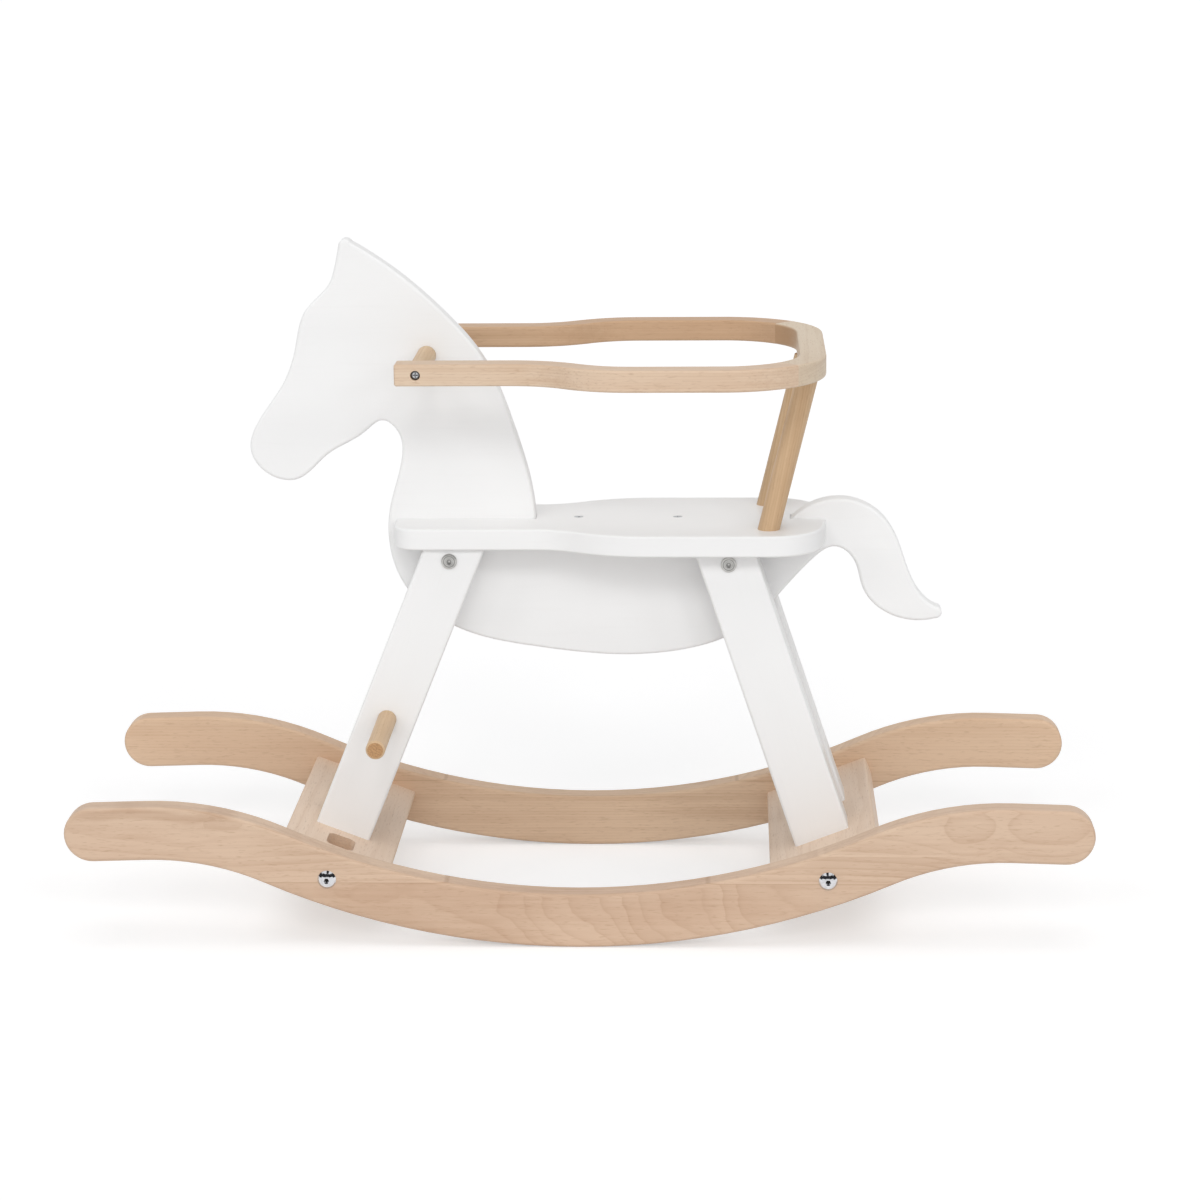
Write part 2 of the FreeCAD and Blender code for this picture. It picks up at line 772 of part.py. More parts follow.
# ---- round bars and fastenings -----------------------------------------------------------------

def handle_dowel():
    """The grip: a round bar through the neck, with its ends in the two arms."""
    half = ring_front_width / 2 - ring_width / 2 + handle_socket
    bar = rod(V(handle_x, -half, ring_middle), ACROSS, dowel_diameter / 2, 2 * half)
    pilot = handle_screw_holes()
    return bar.cut(pilot)


def handle_screw_head_point(side):
    outer = (ring_front_width / 2 + ring_width / 2 - handle_recess_depth
             + handle_screw_head_height)
    return V(handle_x, side * outer, ring_middle)


def handle_screw_holes():
    holes = [rod(handle_screw_head_point(side), ACROSS * -side,
                 handle_screw_diameter / 2 + bolt_gap, handle_screw_length) for side in (-1, 1)]
    return holes[0].fuse(holes[1:])


def footrest_dowel():
    """A round bar through both front legs, its ends lightly chamfered."""
    centre = footrest_point()
    half = footrest_length / 2
    bar = rod(centre - ACROSS * half, ACROSS, dowel_diameter / 2, footrest_length)
    return bar.makeChamfer(footrest_chamfer, [e for e in bar.Edges if e.Closed])


def domed_head(point, direction, diameter, height):
    """A domed bolt head standing on a face, with a hexagon socket."""
    radius = diameter / 2
    ball = (radius ** 2 + height ** 2) / (2 * height)
    sphere = Part.makeSphere(ball, point + direction * (height - ball))
    head = sphere.common(rod(point, direction, radius, height + 1))
    socket = hexagon(hex_socket, hex_socket_depth + 1, point + direction * (height - hex_socket_depth),
                     direction)
    return head.cut(socket)


def flat_head(point, direction, diameter, height):
    """A flat furniture-bolt head with an eased rim and a hexagon socket."""
    head = rod(point, direction, diameter / 2, height)
    rim = [e for e in head.Edges if e.Closed and (e.CenterOfMass - point).dot(direction) > height / 2]
    head = head.makeFillet(height * leg_bolt_rim_share, rim)
    socket = hexagon(hex_socket, height, point + direction * leg_bolt_socket_floor, direction)
    return head.cut(socket)


def both_sides(shapes):
    """The same pieces on the right and on the left."""
    return Part.makeCompound(shapes + [mirrored(shape) for shape in shapes])


def rocker_bolts():
    bolts = []
    for end in (-1, 1):
        seat = on_cross_board(end, 0, rocker_outer_y, 0)
        inner = rocker_inner_y - nut_pocket_start - washer_thickness - nut_thickness - bolt_end
        shank = rod(seat, -ACROSS, bolt_diameter / 2, rocker_outer_y - inner)
        head = domed_head(seat, ACROSS, rocker_bolt_head, rocker_bolt_head_height)
        bolts.append(head.fuse(shank))
    return both_sides(bolts)


def rocker_washers():
    washers = []
    for end in (-1, 1):
        face = on_cross_board(end, 0, rocker_inner_y - nut_pocket_start, 0)
        disc = rod(face, -ACROSS, washer_diameter / 2, washer_thickness)
        washers.append(disc.cut(rod(face, -ACROSS, bolt_diameter / 2 + bolt_gap, washer_thickness)))
    return both_sides(washers)


def rocker_nuts():
    nuts = []
    for end in (-1, 1):
        face = on_cross_board(end, 0, rocker_inner_y - nut_pocket_start - washer_thickness, 0)
        nut = hexagon(nut_across_flats, nut_thickness, face, -ACROSS)
        nuts.append(nut.cut(rod(face, -ACROSS, bolt_diameter / 2, nut_thickness)))
    return both_sides(nuts)


def rocker_dowels():
    dowels = [rod(point, -ACROSS, locating_dowel_diameter / 2, locating_dowel_length)
              for end in (-1, 1) for point in locating_dowels_at(end)]
    return both_sides(dowels)


def leg_bolt(end):
    """A flat-headed bolt in from the left leg, its end inside the sleeve nut."""
    bolt = leg_line(end)[1]
    outer = leg_outer_y(end)
    start = V(bolt.x, -outer, bolt.z)
    head = flat_head(start, -ACROSS, leg_bolt_head, leg_bolt_head_height)
    return head.fuse(rod(start, ACROSS, bolt_diameter / 2, 2 * outer - leg_bolt_end_gap))


def leg_sleeve_nut(end):
    """The long nut that closes the bolt from the right leg, with the same flat head."""
    bolt = leg_line(end)[1]
    face = V(bolt.x, leg_outer_y(end), bolt.z)
    head = flat_head(face, ACROSS, leg_bolt_head, leg_bolt_head_height)
    sleeve = rod(face, -ACROSS, sleeve_nut_diameter / 2, sleeve_nut_length)
    bore = rod(face - ACROSS * sleeve_nut_end_wall, -ACROSS, bolt_diameter / 2, sleeve_nut_length)
    return head.fuse(sleeve).cut(bore)


def foot_screws():
    screws = [countersunk_screw(point, board_normal(end), foot_screw_head, foot_screw_diameter,
                                foot_screw_length)
              for end in (-1, 1) for point in foot_screw_points(end, 1)]
    return both_sides(screws)


def seat_screws():
    head_top = seat_top - seat_screw_recess
    return Part.makeCompound([countersunk_screw(V(x, 0, head_top), -UP, seat_screw_head,
                                                seat_screw_diameter, seat_screw_length)
                              for x in seat_screw_x])


def handle_screws():
    """A screw on the handle's own axis at each arm, its head down in a recess."""
    direction = -ACROSS
    point = handle_screw_head_point(1)
    head = rod(point, direction, handle_screw_head / 2, handle_screw_head_height)
    shank = rod(point, direction, handle_screw_diameter / 2, handle_screw_length)
    socket = hexagon(handle_screw_socket, handle_screw_socket_depth, point, direction)
    return both_sides([head.fuse(shank).cut(socket)])


def post_screws():
    return both_sides([countersunk_screw(post_screw_head_point(1), post_direction(), post_screw_head,
                                         post_screw_diameter, post_screw_length)])


def post_dowels():
    return both_sides([rod(post_dowel_start(1), -post_direction(), post_dowel_diameter / 2,
                           post_dowel_length)])


def ring_joint_dowels():
    points, direction = joint_dowels_at_seam()
    return both_sides([rod(point, direction, joint_dowel_diameter / 2, joint_dowel_length)
                       for point in points])


def drilled_horse_board():
    """The horse board with its bolt, screw and handle holes."""
    handle_hole = rod(V(handle_x, -horse_thickness, ring_middle), ACROSS,
                      dowel_diameter / 2 + glue_gap, 2 * horse_thickness)
    return horse_board().cut([leg_bolt_hole(-1), leg_bolt_hole(1), seat_screw_holes(), handle_hole])


# ---- export ------------------------------------------------------------------------------------

def main():
    os.makedirs("parts", exist_ok=True)
    right = {
        "rocker": rocker(),
        "ring_arm": ring_arm(),
        "ring_post": ring_post(),
        "rear_spacer": rear_spacer(),
    }
    pieces = {
        "horse_board": drilled_horse_board(),
        "seat_board": seat_board(),
        "front_leg_left": left_leg(-1),
        "front_leg_right": right_leg(-1),
        "rear_leg_left": left_leg(1),
        "rear_leg_right": right_leg(1),
        "front_cross_board": cross_board(-1, 1),
        "rear_cross_board": cross_board(1, -1),
        "ring_rear_bar": ring_rear_bar(),
        "handle_dowel": handle_dowel(),
        "footrest_dowel": footrest_dowel(),
        "rocker_bolts": rocker_bolts(),
        "rocker_washers": rocker_washers(),
        "rocker_nuts": rocker_nuts(),
        "rocker_dowels": rocker_dowels(),
        "front_leg_bolt": leg_bolt(-1),
        "front_leg_sleeve_nut": leg_sleeve_nut(-1),
        "rear_leg_bolt": leg_bolt(1),
        "rear_leg_sleeve_nut": leg_sleeve_nut(1),
        "foot_screws": foot_screws(),
        "seat_screws": seat_screws(),
        "handle_screws": handle_screws(),
        "post_screws": post_screws(),
        "post_dowels": post_dowels(),
        "ring_joint_dowels": ring_joint_dowels(),
    }
    for name, shape in right.items():
        pieces[name + "_right"] = shape
        pieces[name + "_left"] = mirrored(shape)
    for name, shape in pieces.items():
        shape.exportStep("parts/" + name + ".step")


main()
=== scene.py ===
# %% [markdown]
# # A wooden rocking horse: woods, lacquer, fastenings and light
#
# The construction is already there: every board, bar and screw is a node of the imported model, at its
# real size. What is left for Blender is what the eye judges: the figure of the beech, the satin of the
# white lacquer, the shine of the bolts, and plain studio light.
#
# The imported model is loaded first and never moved, because every place below is measured from it.

import math

import bmesh
import bpy
from mathutils import Matrix, Vector


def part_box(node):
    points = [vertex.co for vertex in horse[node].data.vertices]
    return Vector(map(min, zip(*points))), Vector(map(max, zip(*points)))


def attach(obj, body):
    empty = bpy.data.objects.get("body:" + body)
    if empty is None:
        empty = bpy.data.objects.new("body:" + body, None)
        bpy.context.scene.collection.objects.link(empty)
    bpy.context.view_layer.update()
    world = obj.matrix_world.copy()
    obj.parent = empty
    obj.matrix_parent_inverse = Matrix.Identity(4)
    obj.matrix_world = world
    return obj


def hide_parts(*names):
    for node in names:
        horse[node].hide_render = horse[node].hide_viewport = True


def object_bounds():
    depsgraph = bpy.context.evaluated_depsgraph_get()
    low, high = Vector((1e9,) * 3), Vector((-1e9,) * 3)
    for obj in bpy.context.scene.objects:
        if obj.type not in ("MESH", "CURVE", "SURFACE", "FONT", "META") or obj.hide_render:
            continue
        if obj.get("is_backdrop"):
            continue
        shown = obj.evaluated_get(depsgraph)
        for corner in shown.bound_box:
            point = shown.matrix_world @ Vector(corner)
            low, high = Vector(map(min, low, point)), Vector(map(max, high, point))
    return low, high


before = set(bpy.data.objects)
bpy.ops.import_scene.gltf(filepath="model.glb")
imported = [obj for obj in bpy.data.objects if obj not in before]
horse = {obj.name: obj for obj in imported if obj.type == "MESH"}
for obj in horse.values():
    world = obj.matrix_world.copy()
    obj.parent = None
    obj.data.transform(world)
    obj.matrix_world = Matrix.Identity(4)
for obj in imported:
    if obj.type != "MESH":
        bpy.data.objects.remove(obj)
cad_low, cad_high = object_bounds()
MM = 0.001
print("pieces of the horse:", len(horse))
print("overall, mm:", [round(size / MM) for size in cad_high - cad_low])

# %% [markdown]
# ## The camera
#
# A long lens from a good distance keeps the two rockers nearly the same length, as in a catalogue
# picture. A 94 mm lens at 2.6 m, a little above the guard ring, does that. The camera is turned by
# three angles one after the other, so each can be read on its own: to the side, down, and level.

# %% Camera
camera_data = bpy.data.cameras.new("camera")
camera_data.lens = 94.2
camera_data.sensor_width = 36
camera = bpy.data.objects.new("camera", camera_data)
bpy.context.scene.collection.objects.link(camera)
bpy.context.scene.camera = camera

standing_at = (0.1253, -2.6011, 0.9062)
turned_left = math.radians(2.42)
looking_down = math.radians(13.92)
tilted = math.radians(-0.57)
camera.matrix_world = (Matrix.Translation(standing_at)
                       @ Matrix.Rotation(turned_left, 4, "Z")
                       @ Matrix.Rotation(math.pi / 2 - looking_down, 4, "X")
                       @ Matrix.Rotation(tilted, 4, "Z"))
print("camera at", standing_at, "with a", round(camera_data.lens, 1), "mm lens")

# %% [markdown]
# ## Adding shader nodes
#
# A material is a small network of nodes. Small helpers keep it readable: one adds a node and feeds its
# inputs, one adds a step of arithmetic, and the rest name what a maker does to a pattern: blend, stretch,
# and set its levels. A colour is written as on a paint card, from 0 to 255, and turned into the linear
# values that Blender works with.

# %% Helpers for shader nodes
def add(tree, kind, inputs=(), **settings):
    """Add a node. inputs maps a socket's name or number to a value, or to the socket that feeds it."""
    made = tree.nodes.new("ShaderNode" + kind)
    for name, value in settings.items():
        setattr(made, name, value)
    for name, value in dict(inputs).items():
        if isinstance(value, bpy.types.NodeSocket):
            tree.links.new(value, made.inputs[name])
        else:
            made.inputs[name].default_value = value
    return made


def sums(tree, operation, *values):
    """One step of arithmetic on numbers, as a Math node."""
    return add(tree, "Math", dict(enumerate(values)), operation=operation).outputs[0]


def blended(tree, factor, first, second):
    """Two colours mixed by a factor from 0 to 1."""
    return add(tree, "Mix", {0: factor, 6: first, 7: second}, data_type="RGBA").outputs[2]


print("two kinds of node helper ready")


# %% Colours from a paint card
def paint(red, green, blue):
    """A paint-card colour as linear red, green, blue and full opacity."""
    def linear(value):
        share = value / 255
        return share / 12.92 if share <= 0.04045 else ((share + 0.055) / 1.055) ** 2.4
    return (linear(red), linear(green), linear(blue), 1)


print("white lacquer on the card:", [round(value, 3) for value in paint(240, 240, 238)])


# %% Patterns
def fine_noise(tree, place, scale, detail=2.0, roughness=0.5):
    """Noise from 0 to 1 at a place that may already be stretched."""
    return add(tree, "TexNoise", {"Vector": place, "Scale": scale, "Detail": detail,
                                  "Roughness": roughness}).outputs["Fac"]


def stretched(tree, place, scale, offset=(0, 0, 0)):
    """The same place with each axis scaled, so that a pattern becomes long in one direction."""
    return add(tree, "Mapping", {"Vector": place, "Scale": scale, "Location": offset}).outputs[0]


def levels(tree, value, low, high, to_low=0.0, to_high=1.0):
    """Stretch the range low to high onto another range, and hold it there beyond the ends."""
    return add(tree, "MapRange", {"Value": value, "From Min": low, "From Max": high,
                                  "To Min": to_low, "To Max": to_high}).outputs[0]


print("noise, stretching and levels ready")


# %% Materials
def new_material(name):
    """An empty material, and the tree that its nodes go into."""
    material = bpy.data.materials.new(name)
    material.use_nodes = True
    material.node_tree.nodes.clear()
    return material, material.node_tree


def surface(tree, inputs):
    """The finished surface: one Principled shader into the material's output."""
    shader = add(tree, "BsdfPrincipled", inputs)
    add(tree, "OutputMaterial", {"Surface": shader.outputs[0]})


def seen_directly(tree):
    """1 for rays from the camera and for those that mirrors and glass send on, 0 for ordinary light."""
    ray = add(tree, "LightPath").outputs
    mirrored = sums(tree, "MAXIMUM", ray["Is Glossy Ray"], ray["Is Transmission Ray"])
    return sums(tree, "MAXIMUM", ray["Is Camera Ray"], mirrored)


print("material helpers ready")

# %% [markdown]
# ## Light and background
#
# The horse stands in a white studio. Its key is a strip light: a long lamp across the set, above and in
# front. A strip is narrow from top to bottom, so the seat throws a shadow with a readable edge on the
# horse below it, and long from side to side, so the upright legs throw none that can be seen. It is made
# of five small suns at the angles where a straight strip would be. A low fill beside the camera and a
# soft light overhead do the rest. Sun lamps light every place alike, so the floor stays evenly white.
#
# The world adds light from all round. What the camera and polished metal see of the world is plain
# white at strength 1; what falls on the wood is weaker, so that pale surfaces keep their colour. The
# metal sees the room and not the lamps, because a dome would show the strip's five suns one by one.

# %% World
scene = bpy.context.scene
scene.view_settings.view_transform = "Standard"
world = bpy.data.worlds.new("studio")
scene.world = world
world.use_nodes = True
world.node_tree.nodes.clear()
tree = world.node_tree
sky_light = 0.42
lit = add(tree, "Background", {"Color": (1, 1, 1, 1), "Strength": sky_light})
white = add(tree, "Background", {"Color": (1, 1, 1, 1), "Strength": 1.0})
mixed = add(tree, "MixShader", {0: seen_directly(tree), 1: lit.outputs[0], 2: white.outputs[0]})
add(tree, "OutputWorld", {"Surface": mixed.outputs[0]})
print("the world lights with", sky_light, "and is seen as 1.0")


# %% Strip light, fill and overhead light
def towards(azimuth, elevation):
    """A direction from the horse, in degrees. Azimuth 0 is the camera's side, 90 the tail's side."""
    turn, rise = math.radians(azimuth), math.radians(elevation)
    return Vector((math.sin(turn) * math.cos(rise), -math.cos(turn) * math.cos(rise), math.sin(rise)))


def soft_sun(name, strength, width, azimuth, elevation):
    """A sun of a width in degrees. The wider it is, the softer are its shadows."""
    lamp = bpy.data.lights.new(name, "SUN")
    lamp.energy = strength
    lamp.angle = math.radians(width)
    sun = bpy.data.objects.new(name, lamp)
    scene.collection.objects.link(sun)
    sun.rotation_euler = towards(azimuth, elevation).to_track_quat("Z", "Y").to_euler()
    sun.visible_glossy = False


strip_slope = 0.70
strip_strength = 0.98
strip_azimuths = (-52, -26, 0, 26, 52)
for azimuth in strip_azimuths:
    rise = math.degrees(math.atan(strip_slope * math.cos(math.radians(azimuth))))
    soft_sun("strip", strip_strength / len(strip_azimuths), 12, azimuth, rise)
soft_sun("fill", 0.88, 60, 4, 10)
soft_sun("overhead", 0.78, 45, 0, 80)
print("strip, fill and overhead light set")

# %% [markdown]
# ## The floor
#
# The floor is white paper. Seen by the camera it is partly a plain white glow and partly its real
# shading, so it is white wherever light reaches it and keeps the soft shadows under the rockers. To
# every other ray it is ordinary white paper that throws light back up at the belly.

# %% Floor
floor_mesh = bpy.data.meshes.new("floor")
shape = bmesh.new()
bmesh.ops.create_grid(shape, x_segments=1, y_segments=1, size=30)
shape.to_mesh(floor_mesh)
shape.free()
floor = bpy.data.objects.new("floor", floor_mesh)
scene.collection.objects.link(floor)
floor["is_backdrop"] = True

paper, tree = new_material("white_paper")
paper_glow = 0.43
shading = add(tree, "BsdfDiffuse", {"Color": (0.68, 0.68, 0.685, 1)})
glow = add(tree, "Emission", {"Color": (1, 1, 1, 1), "Strength": paper_glow})
seen_paper = add(tree, "AddShader", {0: shading.outputs[0], 1: glow.outputs[0]})
real_paper = add(tree, "BsdfDiffuse", {"Color": (0.82, 0.82, 0.82, 1)})
both = add(tree, "MixShader", {0: seen_directly(tree), 1: real_paper.outputs[0],
                               2: seen_paper.outputs[0]})
add(tree, "OutputMaterial", {"Surface": both.outputs[0]})
floor_mesh.materials.append(paper)
print("floor laid at height 0, glowing", paper_glow, "of white to the camera")

# %% [markdown]
# ## Dark cards for the metal
#
# A polished dome in a plain white room looks like paper, because metal shows only what it mirrors.
# Photographers stand dark cards round the set for it. Here a dark arch of cards hangs above the camera,
# and a strip of it goes on over the horse, so each dome gets a dark band across its upper half and two
# bright spots above it. Only mirror-like rays see the cards: they throw no shadow and the camera looks
# straight through them.

# %% Dark cards
card_paint, tree = new_material("black_card")
black = add(tree, "BsdfDiffuse", {"Color": (0.05, 0.05, 0.055, 1)})
add(tree, "OutputMaterial", {"Surface": black.outputs[0]})
card_distance = 2.5


def dark_card(name, azimuth, elevation, width, height):
    """A card in metres that faces the horse, seen by glossy rays only."""
    mesh = bpy.data.meshes.new(name)
    shape = bmesh.new()
    bmesh.ops.create_grid(shape, x_segments=1, y_segments=1, size=0.5)
    bmesh.ops.scale(shape, vec=(width, height, 1), verts=shape.verts)
    away = towards(azimuth, elevation)
    facing_in = away.to_track_quat("Z", "Y").to_matrix().to_4x4()
    stand = Matrix.Translation(away * card_distance) @ facing_in
    bmesh.ops.transform(shape, matrix=stand, verts=shape.verts)
    shape.to_mesh(mesh)
    shape.free()
    mesh.materials.append(card_paint)
    card = bpy.data.objects.new(name, mesh)
    scene.collection.objects.link(card)
    for kind in ("camera", "diffuse", "transmission", "volume_scatter", "shadow"):
        setattr(card, "visible_" + kind, False)
    card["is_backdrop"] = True


arch = ((-80, 22), (-40, 34), (0, 39), (40, 34), (80, 22))  # azimuth and elevation of each card
for number, (azimuth, elevation) in enumerate(arch):
    dark_card("arch_card_%d" % number, azimuth, elevation, 1.9, 1.35)
dark_card("overhead_card", 0, 74, 0.9, 1.7)
print("dark cards hung:", len(arch), "in the arch and one overhead")

# %% [markdown]
# ## White satin lacquer
#
# The horse board, the seat, the legs and the spacers are boards sprayed with two coats of white.
# Under the lacquer the grain still shows as the faintest ripple, the spray leaves a fine orange-peel,
# and the sheen is broken up a little. All three are far too weak to see as a pattern, yet without them
# the boards look like plastic. The grain runs along each board, so every direction gets its own copy.

# %% White lacquer
def grain_place(tree, place, along):
    """Turn a place so that the grain runs along X.

    along is a direction in the XZ plane or the word across, for a board that lies across the horse.
    """
    if along == "across":
        turn = (0, 0, -math.pi / 2)
    else:
        turn = (0, math.atan2(along[2], along[0]), 0)
    return add(tree, "Mapping", {"Vector": place, "Rotation": turn}).outputs[0]


def white_lacquer(name, along):
    """White satin lacquer on a board whose grain runs along a direction."""
    material, tree = new_material(name)
    place = add(tree, "TexCoord").outputs["Object"]
    turned = grain_place(tree, place, along)
    grain = fine_noise(tree, stretched(tree, turned, (14, 420, 420)), 1.0, 3.0, 0.6)
    broad = fine_noise(tree, stretched(tree, turned, (5, 14, 14)), 1.0, 2.0)
    peel = fine_noise(tree, place, 900.0, 1.0)
    colour = blended(tree, levels(tree, broad, 0.3, 0.7), paint(238, 238, 238), paint(242, 242, 242))
    colour = blended(tree, levels(tree, grain, 0.55, 0.8, 0.0, 0.12), colour, paint(227, 226, 224))
    rough = sums(tree, "ADD", levels(tree, broad, 0.3, 0.7, 0.33, 0.39), sums(tree, "MULTIPLY", peel, 0.05))
    height = sums(tree, "ADD", sums(tree, "MULTIPLY", grain, 0.7), sums(tree, "MULTIPLY", peel, 0.3))
    bump = add(tree, "Bump", {"Height": height, "Strength": 0.12, "Distance": 0.0004})
    surface(tree, {"Base Color": colour, "Roughness": rough, "Normal": bump.outputs[0],
                   "Specular IOR Level": 0.4})
    return material


def direction_between(node, low_share, high_share):
    """The direction of a leaning bar in side view, from the corners of its box."""
    low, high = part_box(node)
    ends = [Vector((low.x + (high.x - low.x) * share, 0, height))
            for share, height in ((low_share, low.z), (high_share, high.z))]
    return tuple((ends[1] - ends[0]).normalized())


level = (1, 0, 0)
front_leg_line = direction_between("front_leg_left", 0.2, 0.8)
rear_leg_line = direction_between("rear_leg_left", 0.8, 0.2)
post_line = direction_between("ring_post_left", 0.25, 0.75)
front_lean = math.degrees(math.atan2(front_leg_line[0], front_leg_line[2]))
print("front leg leans", round(front_lean), "degrees")

lacquer_level = white_lacquer("white_lacquer_level_grain", level)
lacquer_front = white_lacquer("white_lacquer_front_legs", front_leg_line)
lacquer_rear = white_lacquer("white_lacquer_rear_legs", rear_leg_line)


# %% Dress the white boards
def dress(node, material):
    """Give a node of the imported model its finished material."""
    for slot in horse[node].material_slots:
        slot.material = material


for node in ("horse_board", "seat_board"):
    dress(node, lacquer_level)
for node in ("front_leg_left", "front_leg_right"):
    dress(node, lacquer_front)
for node in ("rear_leg_left", "rear_leg_right", "rear_spacer_left", "rear_spacer_right"):
    dress(node, lacquer_rear)
print("white boards dressed")

# %% [markdown]
# ## Beech
#
# Beech is a pale, pinkish tan wood. A tree adds one ring a year round its heart, so inside the trunk a
# ring is a tube, a little crooked. A board shows where its faces cut those tubes: nearly straight lines
# where it was cut well away from the heart, and arches or closed ovals where it was cut just beside it.
#
# The pattern is therefore worked out in the round, as distance from a crooked heart line, and every
# face and edge of a piece agrees. On top come three finer things that all beech has: broad clouds of
# tone, fine streaks, and the short dark flecks that tell beech from other pale woods. On the cut ends
# the pores drink more lacquer, so end grain is darker and more orange.

# %% Rings of the tree
TRUNK_HALF = 430  # mm of the trunk, on each side of the middle, that its bends are given for


def trunk_bend(tree, along_grain, bends):
    """How far the heart wanders at a place along the grain, in metres, from a few (place, mm) pairs."""
    curve = add(tree, "FloatCurve")
    span = 10.0  # the farthest that the heart can wander to one side, mm
    line = curve.mapping.curves[0]
    pairs = [((place / TRUNK_HALF + 1) / 2, (bend / span + 1) / 2) for place, bend in bends]
    line.points[0].location = pairs[0]
    line.points[1].location = pairs[-1]
    for place, bend in pairs[1:-1]:
        line.points.new(place, bend)
    curve.mapping.update()
    share = levels(tree, along_grain, -TRUNK_HALF * MM, TRUNK_HALF * MM)
    tree.links.new(share, curve.inputs["Value"])
    return levels(tree, curve.outputs[0], 0.0, 1.0, -span * MM, span * MM)


def ring_count(tree, turned, ring_width, bends, wander, seed):
    """The number of rings between the heart and a place, as a number that grows smoothly.

    wander is how far, in millimetres, slow noise carries the rings off a true circle.
    """
    parts = add(tree, "SeparateXYZ", {0: turned}).outputs
    flat = add(tree, "CombineXYZ", {1: parts[1], 2: parts[2]}).outputs[0]
    away = add(tree, "VectorMath", {0: flat}, operation="LENGTH").outputs["Value"]
    if bends:
        away = sums(tree, "ADD", away, trunk_bend(tree, parts[0], bends))
    slow = fine_noise(tree, stretched(tree, turned, (4.0, 9.0, 9.0), (seed, seed * 2, seed * 3)), 1.0, 2.0)
    ripple = fine_noise(tree, stretched(tree, turned, (26, 60, 60), (seed * 3, seed, 0)), 1.0, 2.0)
    wavy = sums(tree, "ADD", sums(tree, "MULTIPLY", slow, wander * MM),
                sums(tree, "MULTIPLY", ripple, 0.9 * MM))
    return sums(tree, "DIVIDE", sums(tree, "ADD", away, wavy), ring_width * MM)


def ring_tone(tree, count):
    """0 for pale early wood, 1 on the thin late-wood line, with each ring a little different."""
    share = sums(tree, "FRACT", count)
    ramp = add(tree, "ValToRGB", {"Fac": share})
    stops = ramp.color_ramp.elements
    stops[0].position, stops[0].color = 0.0, (0.50, 0.50, 0.50, 1)
    stops[1].position, stops[1].color = 1.0, (1.0, 1.0, 1.0, 1)
    for position, tone in ((0.06, 0.12), (0.20, 0.10), (0.62, 0.30), (0.85, 0.62), (0.95, 0.95)):
        stop = stops.new(position)
        stop.color = (tone, tone, tone, 1)
    year = add(tree, "TexWhiteNoise", {"W": sums(tree, "FLOOR", count)}, noise_dimensions="1D")
    return ramp.outputs["Color"], year.outputs["Value"]


print("ring helpers ready")


# %% Wood colours
BEECH_FLECK = paint(166, 130, 101)
BEECH_END = paint(190, 146, 100)
END_PORE = paint(140, 98, 62)

# each part of the horse comes from another board: its pale wood, its dark wood and its pinker heartwood
ROCKER_WOOD = (paint(216, 190, 166), paint(184, 151, 125), paint(201, 166, 140))
FAR_ROCKER_WOOD = (paint(220, 192, 164), paint(193, 159, 129), paint(208, 173, 144))
ARM_WOOD = (paint(222, 199, 175), paint(196, 163, 134), paint(210, 176, 149))
FAR_ARM_WOOD = (paint(204, 172, 141), paint(180, 144, 111), paint(192, 156, 124))
REAR_BAR_WOOD = (paint(217, 200, 177), paint(192, 168, 142), paint(207, 182, 158))
POST_WOOD = (paint(214, 186, 151), paint(187, 153, 116), paint(201, 167, 132))
CROSS_WOOD = (paint(230, 208, 187), paint(210, 182, 157), paint(220, 192, 170))
BIRCH_WOOD = (paint(226, 207, 178), paint(205, 180, 146), paint(216, 192, 162))
SHADED_FACE_PAINT = paint(174, 135, 98)  # painted shade: the colour that faces turned into the shade are darkened towards
print("palest rocker wood:", [round(value, 2) for value in ROCKER_WOOD[0]])


# %% Staves glued edge to edge
def staves(tree, turned, boards):
    """Blend the patterns of boards that are glued edge to edge, from the lowest upwards.

    Each board is a dict: the height of its lower edge and its heart's place across the grain, both in
    millimetres, its ring width, bends, wander, tone and seed. Returns the ring tone, a number for each
    year, the board's own tone and the glue lines.
    """
    height = add(tree, "SeparateXYZ", {0: turned}).outputs[2]
    tone, year, own, glue = None, None, None, None
    for board in boards:
        heart = (0, -board["heart"][0] * MM, -board["heart"][1] * MM)
        moved = add(tree, "VectorMath", {0: turned, 1: heart}, operation="ADD").outputs[0]
        count = ring_count(tree, moved, board["ring"], board.get("bends"), board["wander"], board["seed"])
        this_tone, this_year = ring_tone(tree, count)
        if tone is None:
            tone, year, own = this_tone, this_year, board["tone"]
            continue
        above = levels(tree, height, (board["from"] - 0.05) * MM, (board["from"] + 0.05) * MM)
        tone = blended(tree, above, tone, this_tone)
        year = add(tree, "Mix", {0: above, 2: year, 3: this_year}).outputs[0]
        own = add(tree, "Mix", {0: above, 2: own, 3: board["tone"]}).outputs[0]
        off = sums(tree, "ABSOLUTE", sums(tree, "SUBTRACT", height, board["from"] * MM))
        line = levels(tree, off, 0.15 * MM, 0.5 * MM, 1.0, 0.0)
        glue = line if glue is None else sums(tree, "MAXIMUM", glue, line)
    return tone, year, own, glue


print("staves ready")


# %% Beech, lacquered
def end_grain(tree, normal, along):
    """1 where a face is cut square across the grain, 0 on the long faces."""
    direction = (0, 1, 0) if along == "across" else along
    facing = add(tree, "VectorMath", {0: normal, 1: direction}, operation="DOT_PRODUCT").outputs["Value"]
    return levels(tree, sums(tree, "ABSOLUTE", facing), 0.72, 0.96)


